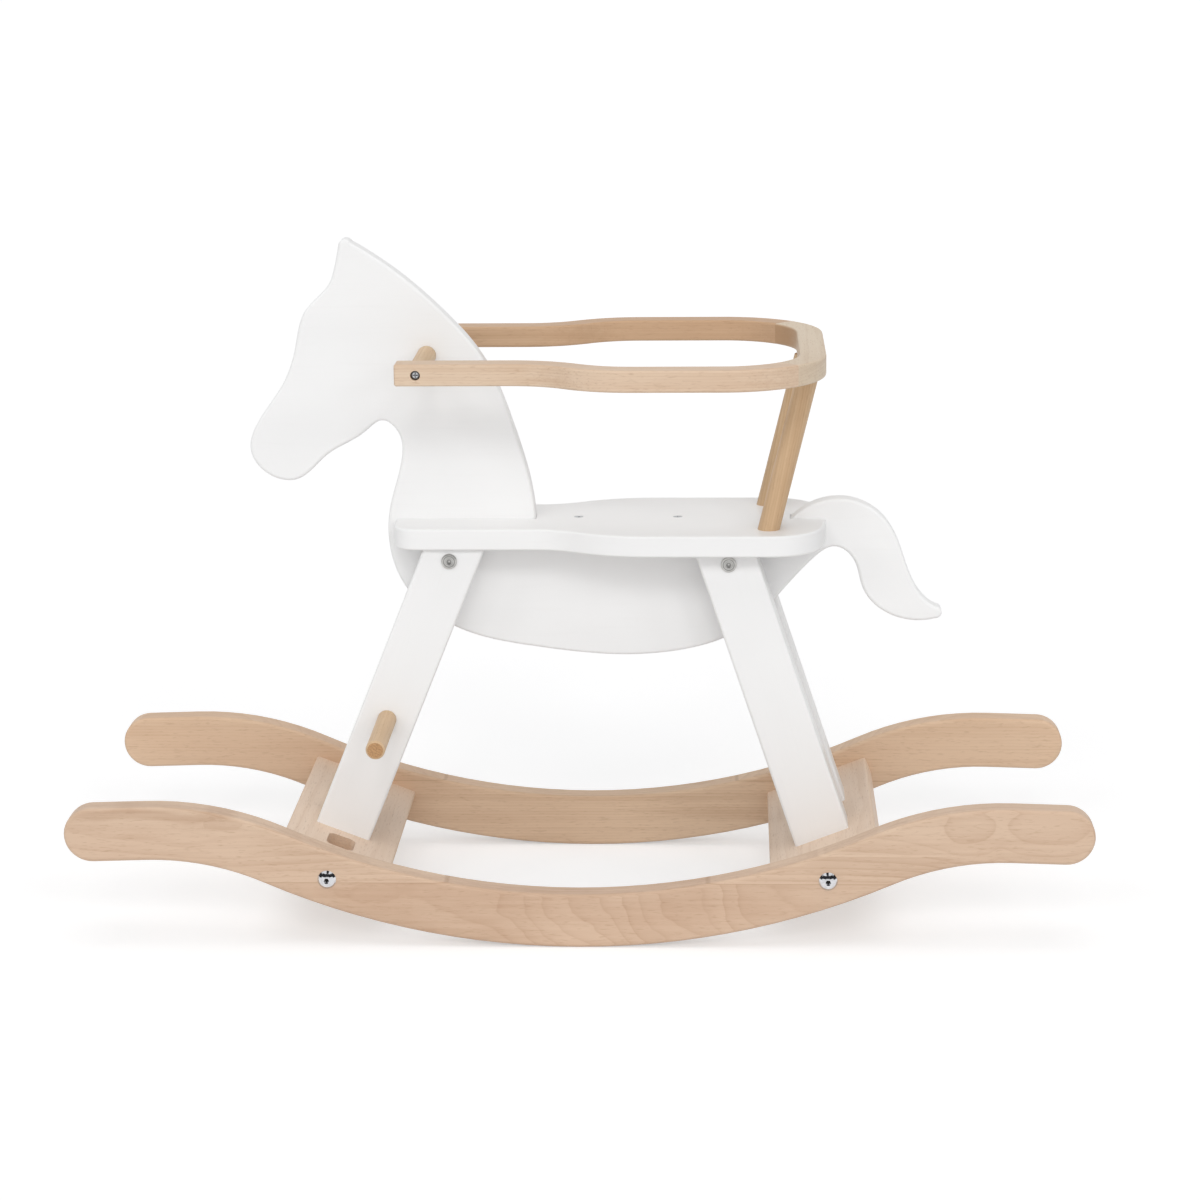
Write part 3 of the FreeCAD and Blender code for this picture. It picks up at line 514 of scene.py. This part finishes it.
def beech(name, along, boards, wood, seed=0.0, figure=0.34, ends=0.85, marks=None, painted_shade_side=None):
    """Lacquered beech. boards lists the staves that the piece is glued from, one for a solid piece.

    wood is its pale wood, dark wood and heartwood, and seed picks its own streaks and clouds. figure is
    how strongly the rings show and ends how dark the end grain is. marks(tree, turned) adds marks of
    this one board. The last argument is a direction: faces turned towards it get painted shade, a darker
    colour for the shade that falls on them.
    """
    pale, dark_wood, heartwood = wood
    material, tree = new_material(name)
    coordinates = add(tree, "TexCoord")
    turned = grain_place(tree, coordinates.outputs["Object"], along)
    tone, year, own, glue = staves(tree, turned, boards)

    broad = fine_noise(tree, stretched(tree, turned, (4.0, 24, 24), (seed, seed, 1)), 1.0, 2.0)
    cloud = fine_noise(tree, stretched(tree, turned, (16, 40, 40), (seed, 2, seed)), 1.0, 3.0)
    streak = fine_noise(tree, stretched(tree, turned, (9.0, 300, 300), (0, seed, seed)), 1.0, 3.0, 0.6)
    fleck = fine_noise(tree, stretched(tree, turned, (130, 900, 900), (seed, 0, seed)), 1.0, 1.0)
    fleck = levels(tree, fleck, 0.58, 0.78)

    dark = sums(tree, "MULTIPLY", tone, figure)
    for pattern, low, high, to_low, to_high in ((year, 0.0, 1.0, -0.12, 0.14),
                                                (broad, 0.3, 0.7, -0.16, 0.20),
                                                (cloud, 0.3, 0.7, -0.10, 0.10),
                                                (streak, 0.3, 0.7, -0.15, 0.17)):
        dark = sums(tree, "ADD", dark, levels(tree, pattern, low, high, to_low, to_high))
    dark = sums(tree, "ADD", dark, own)
    if marks:
        dark = sums(tree, "ADD", dark, marks(tree, turned))
    colour = blended(tree, sums(tree, "MAXIMUM", dark, 0.0), pale, dark_wood)
    # painted shade: faces turned towards the given side are darkened for the shade that falls on them
    if painted_shade_side:
        facing = add(tree, "VectorMath", {0: coordinates.outputs["Normal"], 1: painted_shade_side},
                     operation="DOT_PRODUCT").outputs["Value"]
        colour = blended(tree, levels(tree, facing, 0.45, 0.95, 0.0, 0.9), colour, SHADED_FACE_PAINT)
    pink = fine_noise(tree, stretched(tree, turned, (2.0, 12, 12), (seed * 5, 3, 1)), 1.0)
    pink = levels(tree, pink, 0.4, 0.7, 0.0, 0.45)
    colour = blended(tree, pink, colour, heartwood)
    colour = blended(tree, sums(tree, "MULTIPLY", fleck, 0.32), colour, BEECH_FLECK)
    if glue is not None:
        colour = blended(tree, sums(tree, "MULTIPLY", glue, 0.40), colour, BEECH_FLECK)

    cut_end = sums(tree, "MULTIPLY", end_grain(tree, coordinates.outputs["Normal"], along), ends)
    pores = fine_noise(tree, stretched(tree, turned, (300, 900, 900)), 1.0, 2.0)
    end_colour = blended(tree, levels(tree, pores, 0.42, 0.66, 0.0, 0.8), BEECH_END, END_PORE)
    end_colour = blended(tree, sums(tree, "MULTIPLY", tone, 0.35), end_colour, END_PORE)
    colour = blended(tree, cut_end, colour, end_colour)

    rough = levels(tree, streak, 0.3, 0.7, 0.44, 0.54)
    height = sums(tree, "SUBTRACT", sums(tree, "MULTIPLY", streak, 0.6), sums(tree, "MULTIPLY", fleck, 0.5))
    bump = add(tree, "Bump", {"Height": height, "Strength": 0.16, "Distance": 0.0003})
    surface(tree, {"Base Color": colour, "Roughness": rough, "Normal": bump.outputs[0],
                   "Specular IOR Level": 0.32})
    return material


print("beech ready")

# %% [markdown]
# ## Beech rockers
#
# Each rocker is cut from a panel of two wide staves glued edge to edge, because beech is rarely sawn as
# wide as the curve needs. The joint runs dead level, just below the bolts' axes, and each stave has its
# own figure: the lower one was cut across a slanting trunk and shows arches near the floor, the upper
# one was cut just beside the heart of its tree and shows two closed ovals near the tail end's tip. A few
# marks belong to this one board and are added one by one: a wavy band and a thin line near the head end's
# tip, and a darker wedge below a pale growth line near the tail end.

# %% Staves of the rockers
rocker_low, rocker_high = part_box("rocker_left")
outer_face, inner_face = rocker_low.y / MM, rocker_high.y / MM

# where the heart bends, as (place along the rocker, how much farther off it lies), both in millimetres
arches = [(-430, 6.0), (-110, 5.2), (-62, 3.9), (-20, 1.4), (22, -0.2), (70, -3.4), (104, -4.4), (150, -7.2),
          (196, -7.9), (430, -9.0)]
ovals = [(-430, 2.2), (-360, 0.8), (-300, -0.4), (-240, 0.4), (-160, 1.8), (0, 2.0), (160, 2.4), (240, 1.8),
         (280, 0.7), (300, -0.4), (322, -1.6), (343, -0.4), (348, 0.1), (354, -0.4), (387, -2.0), (419, -0.6),
         (430, 0.4)]
left_staves = [
    {"from": 0, "heart": (outer_face + 600, 52), "ring": 1.1, "bends": arches, "wander": 2.4,
     "tone": 0.20, "seed": 2.0},
    {"from": 56, "heart": (outer_face + 75, 106), "ring": 2.7, "bends": ovals, "wander": 1.2,
     "tone": 0.0, "seed": 5.0},
]
right_staves = [
    {"from": 0, "heart": (inner_face + 100, -300), "ring": 2.4, "wander": 5.0, "tone": 0.10, "seed": 7.0},
    {"from": 61, "heart": (inner_face + 200, 500), "ring": 2.9, "wander": 5.0, "tone": 0.02, "seed": 11.0},
]
print("staves in the left rocker:", len(left_staves))


# %% Marks of the left rocker
def between(tree, value, start, end, ease):
    """1 from start to end in millimetres, eased to 0 outside."""
    return sums(tree, "MULTIPLY", levels(tree, value, (start - ease) * MM, start * MM),
                levels(tree, value, end * MM, (end + ease) * MM, 1.0, 0.0))


def left_rocker_marks(tree, turned):
    """A wavy band and a thin line at the head end's tip, a darker wedge and a pale line at the tail end."""
    parts = add(tree, "SeparateXYZ", {0: turned}).outputs
    sway = fine_noise(tree, stretched(tree, turned, (17, 0, 0), (3, 0, 0)), 1.0, 0.5)
    swayed = sums(tree, "ADD", parts[2], levels(tree, sway, 0.3, 0.7, -4 * MM, 4 * MM))

    def mark(height, low, high, ease, start, end, end_ease, strength):
        """One mark, from low to high in height and from start to end along the rocker."""
        patch = sums(tree, "MULTIPLY", between(tree, height, low, high, ease),
                     between(tree, parts[0], start, end, end_ease))
        return sums(tree, "MULTIPLY", patch, strength)

    marks = mark(swayed, 112, 117, 3, -400, -250, 25, 0.36)
    for other in (mark(swayed, 93, 94, 2, -390, -210, 25, 0.16),
                  mark(parts[2], 56, 80, 0.6, 206, 300, 20, 0.22),
                  mark(parts[2], 80.6, 81.4, 0.7, 206, 300, 12, -0.5)):
        marks = sums(tree, "ADD", marks, other)
    return marks


print("marks of the left rocker ready")


# %% Dress the rockers
dress("rocker_left", beech("beech_left_rocker", level, left_staves, ROCKER_WOOD, 1.0, 0.36,
                           marks=left_rocker_marks))
dress("rocker_right", beech("beech_right_rocker", level, right_staves, FAR_ROCKER_WOOD, 4.0))
print("rockers dressed, outer faces at", round(outer_face), "mm")

# %% [markdown]
# ## The other beech pieces
#
# The cross-boards, ring, posts, handle and footrest are single pieces, each from another spot of
# another tree, so each has its own heart, seed and tone. On a round bar the same rings show as long
# ellipses on the sides and as arcs on the ends.

# %% Cross-boards, ring, posts and bars
def single(heart, ring, seed, wander, tone=0.0):
    """The board list of a piece that is cut from one board."""
    return [{"from": 0, "heart": heart, "ring": ring, "wander": wander, "tone": tone, "seed": seed}]


dress("front_cross_board",
      beech("beech_front_cross_board", "across", single((260, -240), 2.6, 3.0, 6.0), CROSS_WOOD, 3.0,
            ends=0.3))
dress("rear_cross_board",
      beech("beech_rear_cross_board", "across", single((-150, 340), 2.3, 8.0, 6.0), CROSS_WOOD, 8.0,
            ends=0.3))
dress("ring_arm_left",
      beech("beech_left_arm", level, single((-110, 900), 2.4, 12.0, 3.0), ARM_WOOD, 12.0))
dress("ring_arm_right",
      beech("beech_right_arm", level, single((170, 860), 2.2, 13.0, 3.0, 0.1), FAR_ARM_WOOD, 13.0))
# the rear bar's inner faces, turned towards the head and the camera, get painted shade
dress("ring_rear_bar",
      beech("beech_rear_bar", "across", single((-120, 900), 2.5, 14.0, 3.0), REAR_BAR_WOOD, 14.0,
            painted_shade_side=(-0.7, -0.7, 0)))
dress("ring_post_left",
      beech("beech_left_post", post_line, single((-90, 320), 2.2, 15.0, 2.0, 0.1), POST_WOOD, 15.0, 0.5))
dress("ring_post_right",
      beech("beech_right_post", post_line, single((20, 290), 2.2, 16.0, 2.0, 0.1), POST_WOOD, 16.0, 0.5))
dress("handle_dowel",
      beech("beech_handle", "across", single((150, 440), 2.2, 17.0, 2.0), POST_WOOD, 17.0))
dress("footrest_dowel",
      beech("beech_footrest", "across", single((150, 190), 2.4, 18.0, 2.0), POST_WOOD, 18.0))
print("beech pieces dressed")

# %% [markdown]
# ## Metals
#
# Three finishes hold the horse together. The rocker bolts are chrome-plated and polished; the long leg
# bolts have a duller nickel; the screws, nuts and washers are zinc-plated steel. Polished metal is its
# reflections, so chrome is smooth with a few hair scratches. Nickel and zinc are broken up by the
# cloudy bloom of their plating, and the flat leg bolts also show the rings that the lathe left.

# %% Metal finishes
# the dark steel that the painted shade in sockets, grooves and recesses is mixed towards
DARK_RING_STEEL = paint(34, 33, 32)


def from_axes(tree, place, axes):
    """How far a place is from the nearest of some axes that lie across the horse."""
    nearest = None
    for x, z in axes:
        moved = add(tree, "VectorMath", {0: place, 1: (-x, 0, -z)}, operation="ADD").outputs[0]
        flat = add(tree, "VectorMath", {0: moved, 1: (1, 0, 1)}, operation="MULTIPLY").outputs[0]
        away = add(tree, "VectorMath", {0: flat}, operation="LENGTH").outputs["Value"]
        nearest = away if nearest is None else sums(tree, "MINIMUM", nearest, away)
    return nearest


def plated(name, card, roughness, cloud, marks, axes=(), darkened_rings=()):
    """Plated steel in the colour of a card. cloud is how much its sheen varies, marks how deep its
    scratches are.

    axes lists the (x, z) of axes that lie across the horse; lathe rings run round each of them. The last
    argument lists (from, to, share) in millimetres from an axis, where the colour is darkened by a share:
    painted shade in the floor of a socket, in a groove and round a recessed head, and a dark ring on a flat
    head's face.
    """
    material, tree = new_material(name)
    place = add(tree, "TexCoord").outputs["Object"]
    bloom = fine_noise(tree, place, 260.0, 3.0, 0.6)
    scratches = fine_noise(tree, stretched(tree, place, (5200, 700, 5200)), 1.0, 2.0)
    darker = tuple(channel * 0.82 for channel in card[:3]) + (1,)
    colour = blended(tree, levels(tree, bloom, 0.35, 0.7), card, darker)
    if axes:
        away = from_axes(tree, place, axes)
        rings = fine_noise(tree, add(tree, "CombineXYZ", {0: away}).outputs[0], 4200.0, 1.0)
        scratches = sums(tree, "ADD", sums(tree, "MULTIPLY", rings, 0.8),
                         sums(tree, "MULTIPLY", scratches, 0.2))
        # painted shade: between the given radii the colour is mixed towards dark steel
        for start, end, share in darkened_rings:
            thin = sums(tree, "MULTIPLY", between(tree, away, start, end, 0.15), share)
            colour = blended(tree, thin, colour, DARK_RING_STEEL)
    rough = levels(tree, bloom, 0.3, 0.7, roughness - cloud, roughness + cloud)
    bump = add(tree, "Bump", {"Height": scratches, "Strength": marks, "Distance": 0.00005})
    surface(tree, {"Base Color": colour, "Metallic": 1.0, "Roughness": rough, "Normal": bump.outputs[0]})
    return material


print("plating ready")


# %% Plate every kind of fastening
def middle_of(node):
    """The middle of a node's box."""
    low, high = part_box(node)
    return (low + high) / 2


bolts_low, bolts_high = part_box("rocker_bolts")
head_radius = (bolts_high.z - bolts_low.z) / 2
rocker_bolt_axes = [(x, middle_of("rocker_bolts").z)
                    for x in (bolts_low.x + head_radius, bolts_high.x - head_radius)]
leg_bolt_axes = [(middle_of(node).x, middle_of(node).z) for node in ("front_leg_bolt", "rear_leg_bolt")]
handle_axes = [(middle_of("handle_screws").x, middle_of("handle_screws").z)]
# painted shade: the socket floors, the leg bolts' grooves and the rim of each handle screw in its recess are
# darkened; the leg bolts also get a dark ring on their face
chrome = plated("polished_chrome", paint(222, 223, 226), 0.07, 0.03, 0.06, rocker_bolt_axes,
                [(-1, 1.85, 1.0)])
nickel = plated("satin_nickel", paint(200, 199, 196), 0.34, 0.06, 0.6, leg_bolt_axes,
                [(0.7, 2.1, 0.5), (2.9, 3.3, 0.3), (4.25, 4.85, 0.45)])
handle_zinc = plated("zinc_in_recess", paint(214, 215, 217), 0.26, 0.08, 0.30, handle_axes,
                     [(2.3, 5.0, 0.75)])
zinc = plated("bright_zinc", paint(190, 192, 195), 0.30, 0.08, 0.30)
birch = beech("birch_dowels", "across", single((30, 30), 1.6, 21.0, 2.0), BIRCH_WOOD, 21.0)
print("leg bolts turned on", [(round(x / MM), round(z / MM)) for x, z in leg_bolt_axes])

# %% [markdown]
# ## Where the fastenings are
#
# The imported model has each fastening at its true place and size, with a plain shank. The detailed ones
# take the same places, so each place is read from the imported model: a node is split into its separate
# solids, and each solid's axis is found from the middles of its two end faces. Long, thin solids show
# their axis by themselves; nuts and washers are wider than long, so they are told it.

# %% Separate solids of a node
def solids_of(node):
    """The corner points of each separate solid of a node."""
    shape = bmesh.new()
    shape.from_mesh(horse[node].data)
    bmesh.ops.remove_doubles(shape, verts=shape.verts, dist=0.001 * MM)
    found, seen_verts = [], set()
    for first in shape.verts:
        if first in seen_verts:
            continue
        seen_verts.add(first)
        group, waiting = [], [first]
        while waiting:
            vert = waiting.pop()
            group.append(vert.co.copy())
            for edge in vert.link_edges:
                other = edge.other_vert(vert)
                if other not in seen_verts:
                    seen_verts.add(other)
                    waiting.append(other)
        found.append(group)
    shape.free()
    return found


print("foot screws in the packed model:", len(solids_of("foot_screws")))


# %% The axis of a solid
def end_middle(points, run, depth):
    """The middle of the face that lies farthest along a direction, within a depth in millimetres."""
    reach = max(point.dot(run) for point in points)
    face = [point for point in points if point.dot(run) > reach - depth * MM]
    side = run.orthogonal().normalized()
    middle = run * reach
    for across in (side, run.cross(side)):
        spread = [point.dot(across) for point in face]
        middle = middle + across * (min(spread) + max(spread)) / 2
    return middle


def axis_of(points, known=None):
    """The head's middle and the tip's middle of a turned solid. The head is the wider end."""
    if known:
        run = Vector(known)
        head, tip = end_middle(points, run, 0.2), end_middle(points, -run, 0.2)
    else:
        head = max(points, key=lambda point: (point - points[0]).length)
        tip = max(points, key=lambda point: (point - head).length)
        for depth in (4.0, 2.0, 1.0, 0.3, 0.1):
            run = (head - tip).normalized()
            head, tip = end_middle(points, run, depth), end_middle(points, -run, depth)
    length = (head - tip).length

    def width_near(end):
        near = [point for point in points if abs((point - end).dot(run)) < 0.15 * length]
        return max((point - end - run * (point - end).dot(run)).length for point in near)

    if width_near(tip) > width_near(head) + 0.01 * MM:
        head, tip = tip, head
    return head, tip


ACROSS, UP = (0, 1, 0), (0, 0, 1)
head, tip = axis_of(solids_of("foot_screws")[0])
print("a foot screw is", round((head - tip).length / MM, 2), "mm long")

# %% [markdown]
# ## Fastenings, ring by ring
#
# All of them are turned, pressed or rolled from round bar, so a fastening is a stack of rings: the
# first is a circle, and each further one is extruded from the last and given its own radius and height.
# A ring's radius may change with the angle, and then the same stack makes a hexagon, a cross-shaped
# drive or a fluted dowel. Heights count down from the head's top at 0. A thread is a small triangle
# spun round the shank and lifted one pitch a turn, which is also how it is rolled.

# %% A stack of rings
def at_angle(value, angle):
    """A radius or a height that may change with the angle."""
    return value(angle) if callable(value) else value


def edges_between(shape, verts):
    """The edges whose two ends are both among some verts."""
    chosen = set(verts)
    return [edge for edge in shape.edges if edge.verts[0] in chosen and edge.verts[1] in chosen]


def stacked(rings, around=48, pipe=False):
    """A closed shape from rings of (radius, height). With pipe the last ring joins the first."""
    shape = bmesh.new()
    ring = bmesh.ops.create_circle(shape, segments=around, radius=1.0)["verts"]
    edges = first = edges_between(shape, ring)
    for number, (radius, height) in enumerate(rings):
        if number:
            grown = bmesh.ops.extrude_edge_only(shape, edges=edges)["geom"]
            ring = [item for item in grown if isinstance(item, bmesh.types.BMVert)]
            edges = edges_between(shape, ring)
        for vert in ring:
            angle = math.atan2(vert.co.y, vert.co.x)
            reach = at_angle(radius, angle)
            vert.co = (reach * math.cos(angle), reach * math.sin(angle), at_angle(height, angle))
    if pipe:
        bmesh.ops.bridge_loops(shape, edges=first + edges)
    else:
        bmesh.ops.contextual_create(shape, geom=first)
        bmesh.ops.contextual_create(shape, geom=edges)
    return shape


trial = stacked([(1, 0), (1, -1), (0.5, -1)])
print("three rings make", len(trial.faces), "faces")
trial.free()


# %% Outlines that change with the angle
def hexagon(across_flats):
    """The radius of a hexagon's outline at an angle."""
    def radius(angle):
        return across_flats / 2 / math.cos(angle % (math.pi / 3) - math.pi / 6)
    return radius


def cross(length, width):
    """The radius of a plus sign's outline at an angle, for a cross-head drive."""
    def radius(angle):
        off = abs((angle + math.pi / 4) % (math.pi / 2) - math.pi / 4)
        return min(length / 2 / math.cos(off), width / 2 / max(math.sin(off), 1e-6))
    return radius


def fluted(diameter, flutes, depth):
    """The radius of a round bar with shallow flutes along it."""
    def radius(angle):
        return diameter / 2 - depth * (0.5 - 0.5 * math.cos(flutes * angle))
    return radius


print("a 4 mm hexagon is", round(2 * hexagon(4)(0), 2), "mm across its corners")


# %% A rolled thread
def add_thread(shape, core, crest, pitch, top, bottom):
    """A ridge wound round a shank from one height down to another, closed at both ends."""
    steps = 20  # in one turn
    section = ((core - 0.1, 0, top), (crest, 0, top - 0.45 * pitch), (core - 0.1, 0, top - 0.9 * pitch))
    corners = [shape.verts.new(place) for place in section]
    sides = [shape.edges.new((a, b)) for a, b in zip(corners, corners[1:] + corners[:1])]
    count = int(steps * ((top - bottom) / pitch - 1))
    wound = bmesh.ops.spin(shape, geom=corners + sides, axis=(0, 0, 1), cent=(0, 0, 0), steps=count,
                           dvec=(0, 0, -pitch / steps), angle=math.tau * count / steps)
    last = [item for item in wound["geom_last"] if isinstance(item, bmesh.types.BMEdge)]
    bmesh.ops.contextual_create(shape, geom=sides)
    bmesh.ops.contextual_create(shape, geom=last)


def pointed(shape, start, end, share):
    """Draw a shank in towards its tip, from full width at one height to a share of it at another."""
    for vert in shape.verts:
        if vert.co.z < start:
            drawn = 1 - (1 - share) * (start - vert.co.z) / (start - end)
            vert.co.x *= drawn
            vert.co.y *= drawn


print("thread and point ready")

# %% [markdown]
# ## Bolts
#
# The rocker bolts have a domed head; the leg bolts and the sleeve nuts that close them have a flat,
# eased head with one turned groove. All take a 4 mm hexagon key. Their M6 thread has a pitch of 1 mm.

# %% Bolt heads and shanks
M6_CREST, M6_CORE, M6_PITCH = 2.98, 2.45, 1.0
DOME_WIDTH, DOME_HEIGHT = 15.6, 4.2
FLAT_WIDTH, FLAT_HEIGHT = 13.0, 2.0
KEY = 4.0


def key_socket(depth):
    """The rings of a hexagon socket, from its floor up to the eased mouth."""
    return [(0.25, -depth - 0.25), (hexagon(KEY * 0.98), -depth), (hexagon(KEY), -0.22), (KEY * 0.63, 0)]


def threaded_shank(seat, length, thread):
    """The rings of an M6 shank from under the head down to its end."""
    return [(3.2, seat), (3.0, seat - 0.25), (3.0, thread - length), (M6_CORE, thread - length - 0.5),
            (M6_CORE, 0.5 - length), (M6_CORE - 0.5, -length)]


def domed_bolt(length):
    """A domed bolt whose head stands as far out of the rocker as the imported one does."""
    seat = (-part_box("rocker_left")[0].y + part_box("rocker_bolts")[0].y) / MM
    ball = ((DOME_WIDTH / 2) ** 2 + DOME_HEIGHT ** 2) / (2 * DOME_HEIGHT)
    dome = [(radius, seat + DOME_HEIGHT - ball + math.sqrt(ball ** 2 - radius ** 2))
            for radius in (2.75, 3.6, 4.6, 5.5, 6.3, 6.9, 7.3)]
    rim = [(7.62, seat + 0.42), (DOME_WIDTH / 2, seat + 0.15), (7.6, seat)]
    socket = [(radius, height + dome[0][1] + 0.05) for radius, height in key_socket(2.3)]
    shape = stacked(socket + dome + rim + threaded_shank(seat, length, 18))
    add_thread(shape, M6_CORE, M6_CREST, M6_PITCH, 17.5 - length, -length)
    return shape


def flat_head():
    """The rings of a flat head: socket, face with a turned groove, and eased rim."""
    half = FLAT_WIDTH / 2
    return key_socket(1.3) + [(4.3, 0), (4.45, -0.12), (4.65, -0.12), (4.8, 0), (half - 0.9, 0),
                              (half - 0.5, -0.11), (half - 0.18, -0.38), (half, -0.9), (half, -FLAT_HEIGHT)]


def leg_bolt(length):
    """A long bolt with a flat head, threaded at its far end."""
    shape = stacked(flat_head() + threaded_shank(-FLAT_HEIGHT, length, 20))
    add_thread(shape, M6_CORE, M6_CREST, M6_PITCH, 19.5 - length, -length)
    return shape


def sleeve_nut(length):
    """A flat head on a sleeve that is bored and threaded from its far end."""
    sleeve = [(4.2, -FLAT_HEIGHT), (4.0, -FLAT_HEIGHT - 0.2), (4.0, 0.4 - length), (3.7, -length),
              (3.35, -length), (3.0, 0.4 - length), (3.0, -6.4), (0.5, -6.0)]
    return stacked(flat_head() + sleeve)


print("domed head", DOME_WIDTH, "mm, flat head", FLAT_WIDTH, "mm")


# %% [markdown]
# ## Screws, nuts, washers and dowels
#
# The wood screws have a countersunk head and a cross drive that narrows towards its floor, a thread
# with a coarse pitch, and a point. The nuts are chamfered on both faces: a cone cuts the hexagon, so
# its corners are lower than its flats. A washer is punched, which rounds one edge. A dowel is fluted
# so that glue and air can escape, and its ends are chamfered to find the hole.

# %% Screws
def cross_drive(size):
    """The rings of a cross drive, from its floor up to the head's face."""
    return [(0.2, -0.55 * size), (cross(0.5 * size, 0.19 * size), -0.3 * size),
            (cross(size, 0.25 * size), 0)]


def wood_screw(length, head, shank, pitch):
    """A countersunk wood screw with its thread on two thirds of the shank."""
    flare = (head - shank) / 2
    core = 0.35 * shank
    rings = [(head / 2 - 0.1, 0), (head / 2, -0.12), (core + 0.5, -flare - 0.1), (core + 0.35, -flare - 0.8),
             (core + 0.35, -length / 3), (core, -length / 3 - 0.8), (core, -length)]
    shape = stacked(cross_drive(0.52 * head) + rings)
    add_thread(shape, core, shank / 2, pitch, -length / 3 - 1, -length)
    pointed(shape, shank * 1.4 - length, -length, 0.15)
    return shape


def foot_screw(length):
    """The screws up into the legs and the posts."""
    return wood_screw(length, 9.0, 4.5, 2.0)


def seat_screw(length):
    """The screws down through the seat, with a small head and a stout shank."""
    return wood_screw(length, 8.0, 5.0, 2.2)


def handle_screw(length):
    """A cylinder-headed screw with a rounded rim, for the recess in each arm."""
    half = 3.7
    rings = [(half - 0.8, 0), (half - 0.25, -0.2), (half, -0.7), (half, -2.2), (1.6, -2.2), (1.6, -length)]
    shape = stacked(cross_drive(4.3) + rings)
    add_thread(shape, 1.55, 2.0, 1.6, -length / 3, -length)
    pointed(shape, 5 - length, -length, 0.2)
    return shape


trial = seat_screw(30)
print("a 30 mm seat screw has", len(trial.faces), "faces")
trial.free()


# %% Nuts, washers and dowels
def m6_nut(length):
    """A hexagon nut, chamfered on both faces."""
    outline, flat, bore = hexagon(10), 4.75, 2.6

    def chamfer(angle):
        return (outline(angle) - flat) * math.tan(math.radians(30))

    def upper(angle):
        return -chamfer(angle)

    def lower(angle):
        return chamfer(angle) - length

    rings = [(bore + 0.5, 0), (flat, 0), (outline, upper), (outline, lower), (flat, -length),
             (bore + 0.5, -length), (bore, 0.5 - length), (bore, -0.5)]
    return stacked(rings, pipe=True)


def washer(length):
    """A punched washer, rounded on its upper edge."""
    rings = [(3.25, 0), (5.7, 0), (5.93, -0.1), (6.0, -0.32), (6.0, 0.05 - length), (5.95, -length),
             (3.25, -length)]
    return stacked(rings, pipe=True)


def dowel(diameter):
    """A maker of fluted dowels of one diameter."""
    def make(length):
        full = fluted(diameter, 16, 0.3)
        rings = [(diameter / 2 - 0.9, 0), (full, -0.9), (full, 0.9 - length),
                 (diameter / 2 - 0.9, -length)]
        return stacked(rings, around=96)
    return make


trial = m6_nut(5)
print("an M6 nut has", len(trial.faces), "faces")
trial.free()


# %% [markdown]
# ## Fitting them
#
# Each detailed fastening is shaped once at the origin, turned to the axis of the solid that it stands
# in for, and added to one mesh per node.

# %% Fit every fastening
sharp_angle = math.radians(33)  # a flatter edge than this is shaded as a smooth curve


def fit(name, node, finish, make, axis=None):
    """One piece that replaces a node's solids by detailed ones in the same places.

    make(length) shapes one fastening. axis is given where the direction of the solids is known.
    """
    mesh = bpy.data.meshes.new(name)
    whole = bmesh.new()
    for points in solids_of(node):
        head, tip = axis_of(points, axis)
        shape = make((head - tip).length / MM)
        bmesh.ops.recalc_face_normals(shape, faces=shape.faces)
        turned = (head - tip).to_track_quat("Z", "Y").to_matrix().to_4x4()
        bmesh.ops.transform(shape, matrix=Matrix.Translation(head) @ turned @ Matrix.Scale(MM, 4),
                            verts=shape.verts)
        shape.to_mesh(mesh)
        shape.free()
        whole.from_mesh(mesh)
    whole.to_mesh(mesh)
    whole.free()
    mesh.shade_smooth()
    mesh.set_sharp_from_angle(angle=sharp_angle)
    mesh.materials.append(finish)
    piece = bpy.data.objects.new(name, mesh)
    scene.collection.objects.link(piece)
    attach(piece, "root")
    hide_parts(node)
    triangles = sum(len(face.vertices) - 2 for face in mesh.polygons)
    print(name, "has", triangles, "triangles")


fit("domed_rocker_bolts", "rocker_bolts", chrome, domed_bolt, ACROSS)
fit("m6_rocker_nuts", "rocker_nuts", zinc, m6_nut, ACROSS)
fit("punched_washers", "rocker_washers", zinc, washer, ACROSS)
for end in ("front", "rear"):
    fit(end + "_flat_leg_bolt", end + "_leg_bolt", nickel, leg_bolt, ACROSS)
    fit(end + "_threaded_sleeve", end + "_leg_sleeve_nut", nickel, sleeve_nut, ACROSS)
fit("cross_head_foot_screws", "foot_screws", zinc, foot_screw)
fit("cross_head_seat_screws", "seat_screws", zinc, seat_screw, UP)
fit("cross_head_post_screws", "post_screws", zinc, foot_screw)
fit("cross_head_handle_screws", "handle_screws", handle_zinc, handle_screw, ACROSS)
fit("fluted_rocker_dowels", "rocker_dowels", birch, dowel(8), ACROSS)
fit("fluted_post_dowels", "post_dowels", birch, dowel(8))
fit("fluted_joint_dowels", "ring_joint_dowels", birch, dowel(6))

# %% [markdown]
# ## Finish
#
# The horse's box is measured again, and how far it grew beyond the box of the imported model is printed.

# %% Measure and finish
new_low, new_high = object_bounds()
growth = (new_high - new_low) - (cad_high - cad_low)
print("box grew by, mm:", [round(step / MM, 2) for step in growth])
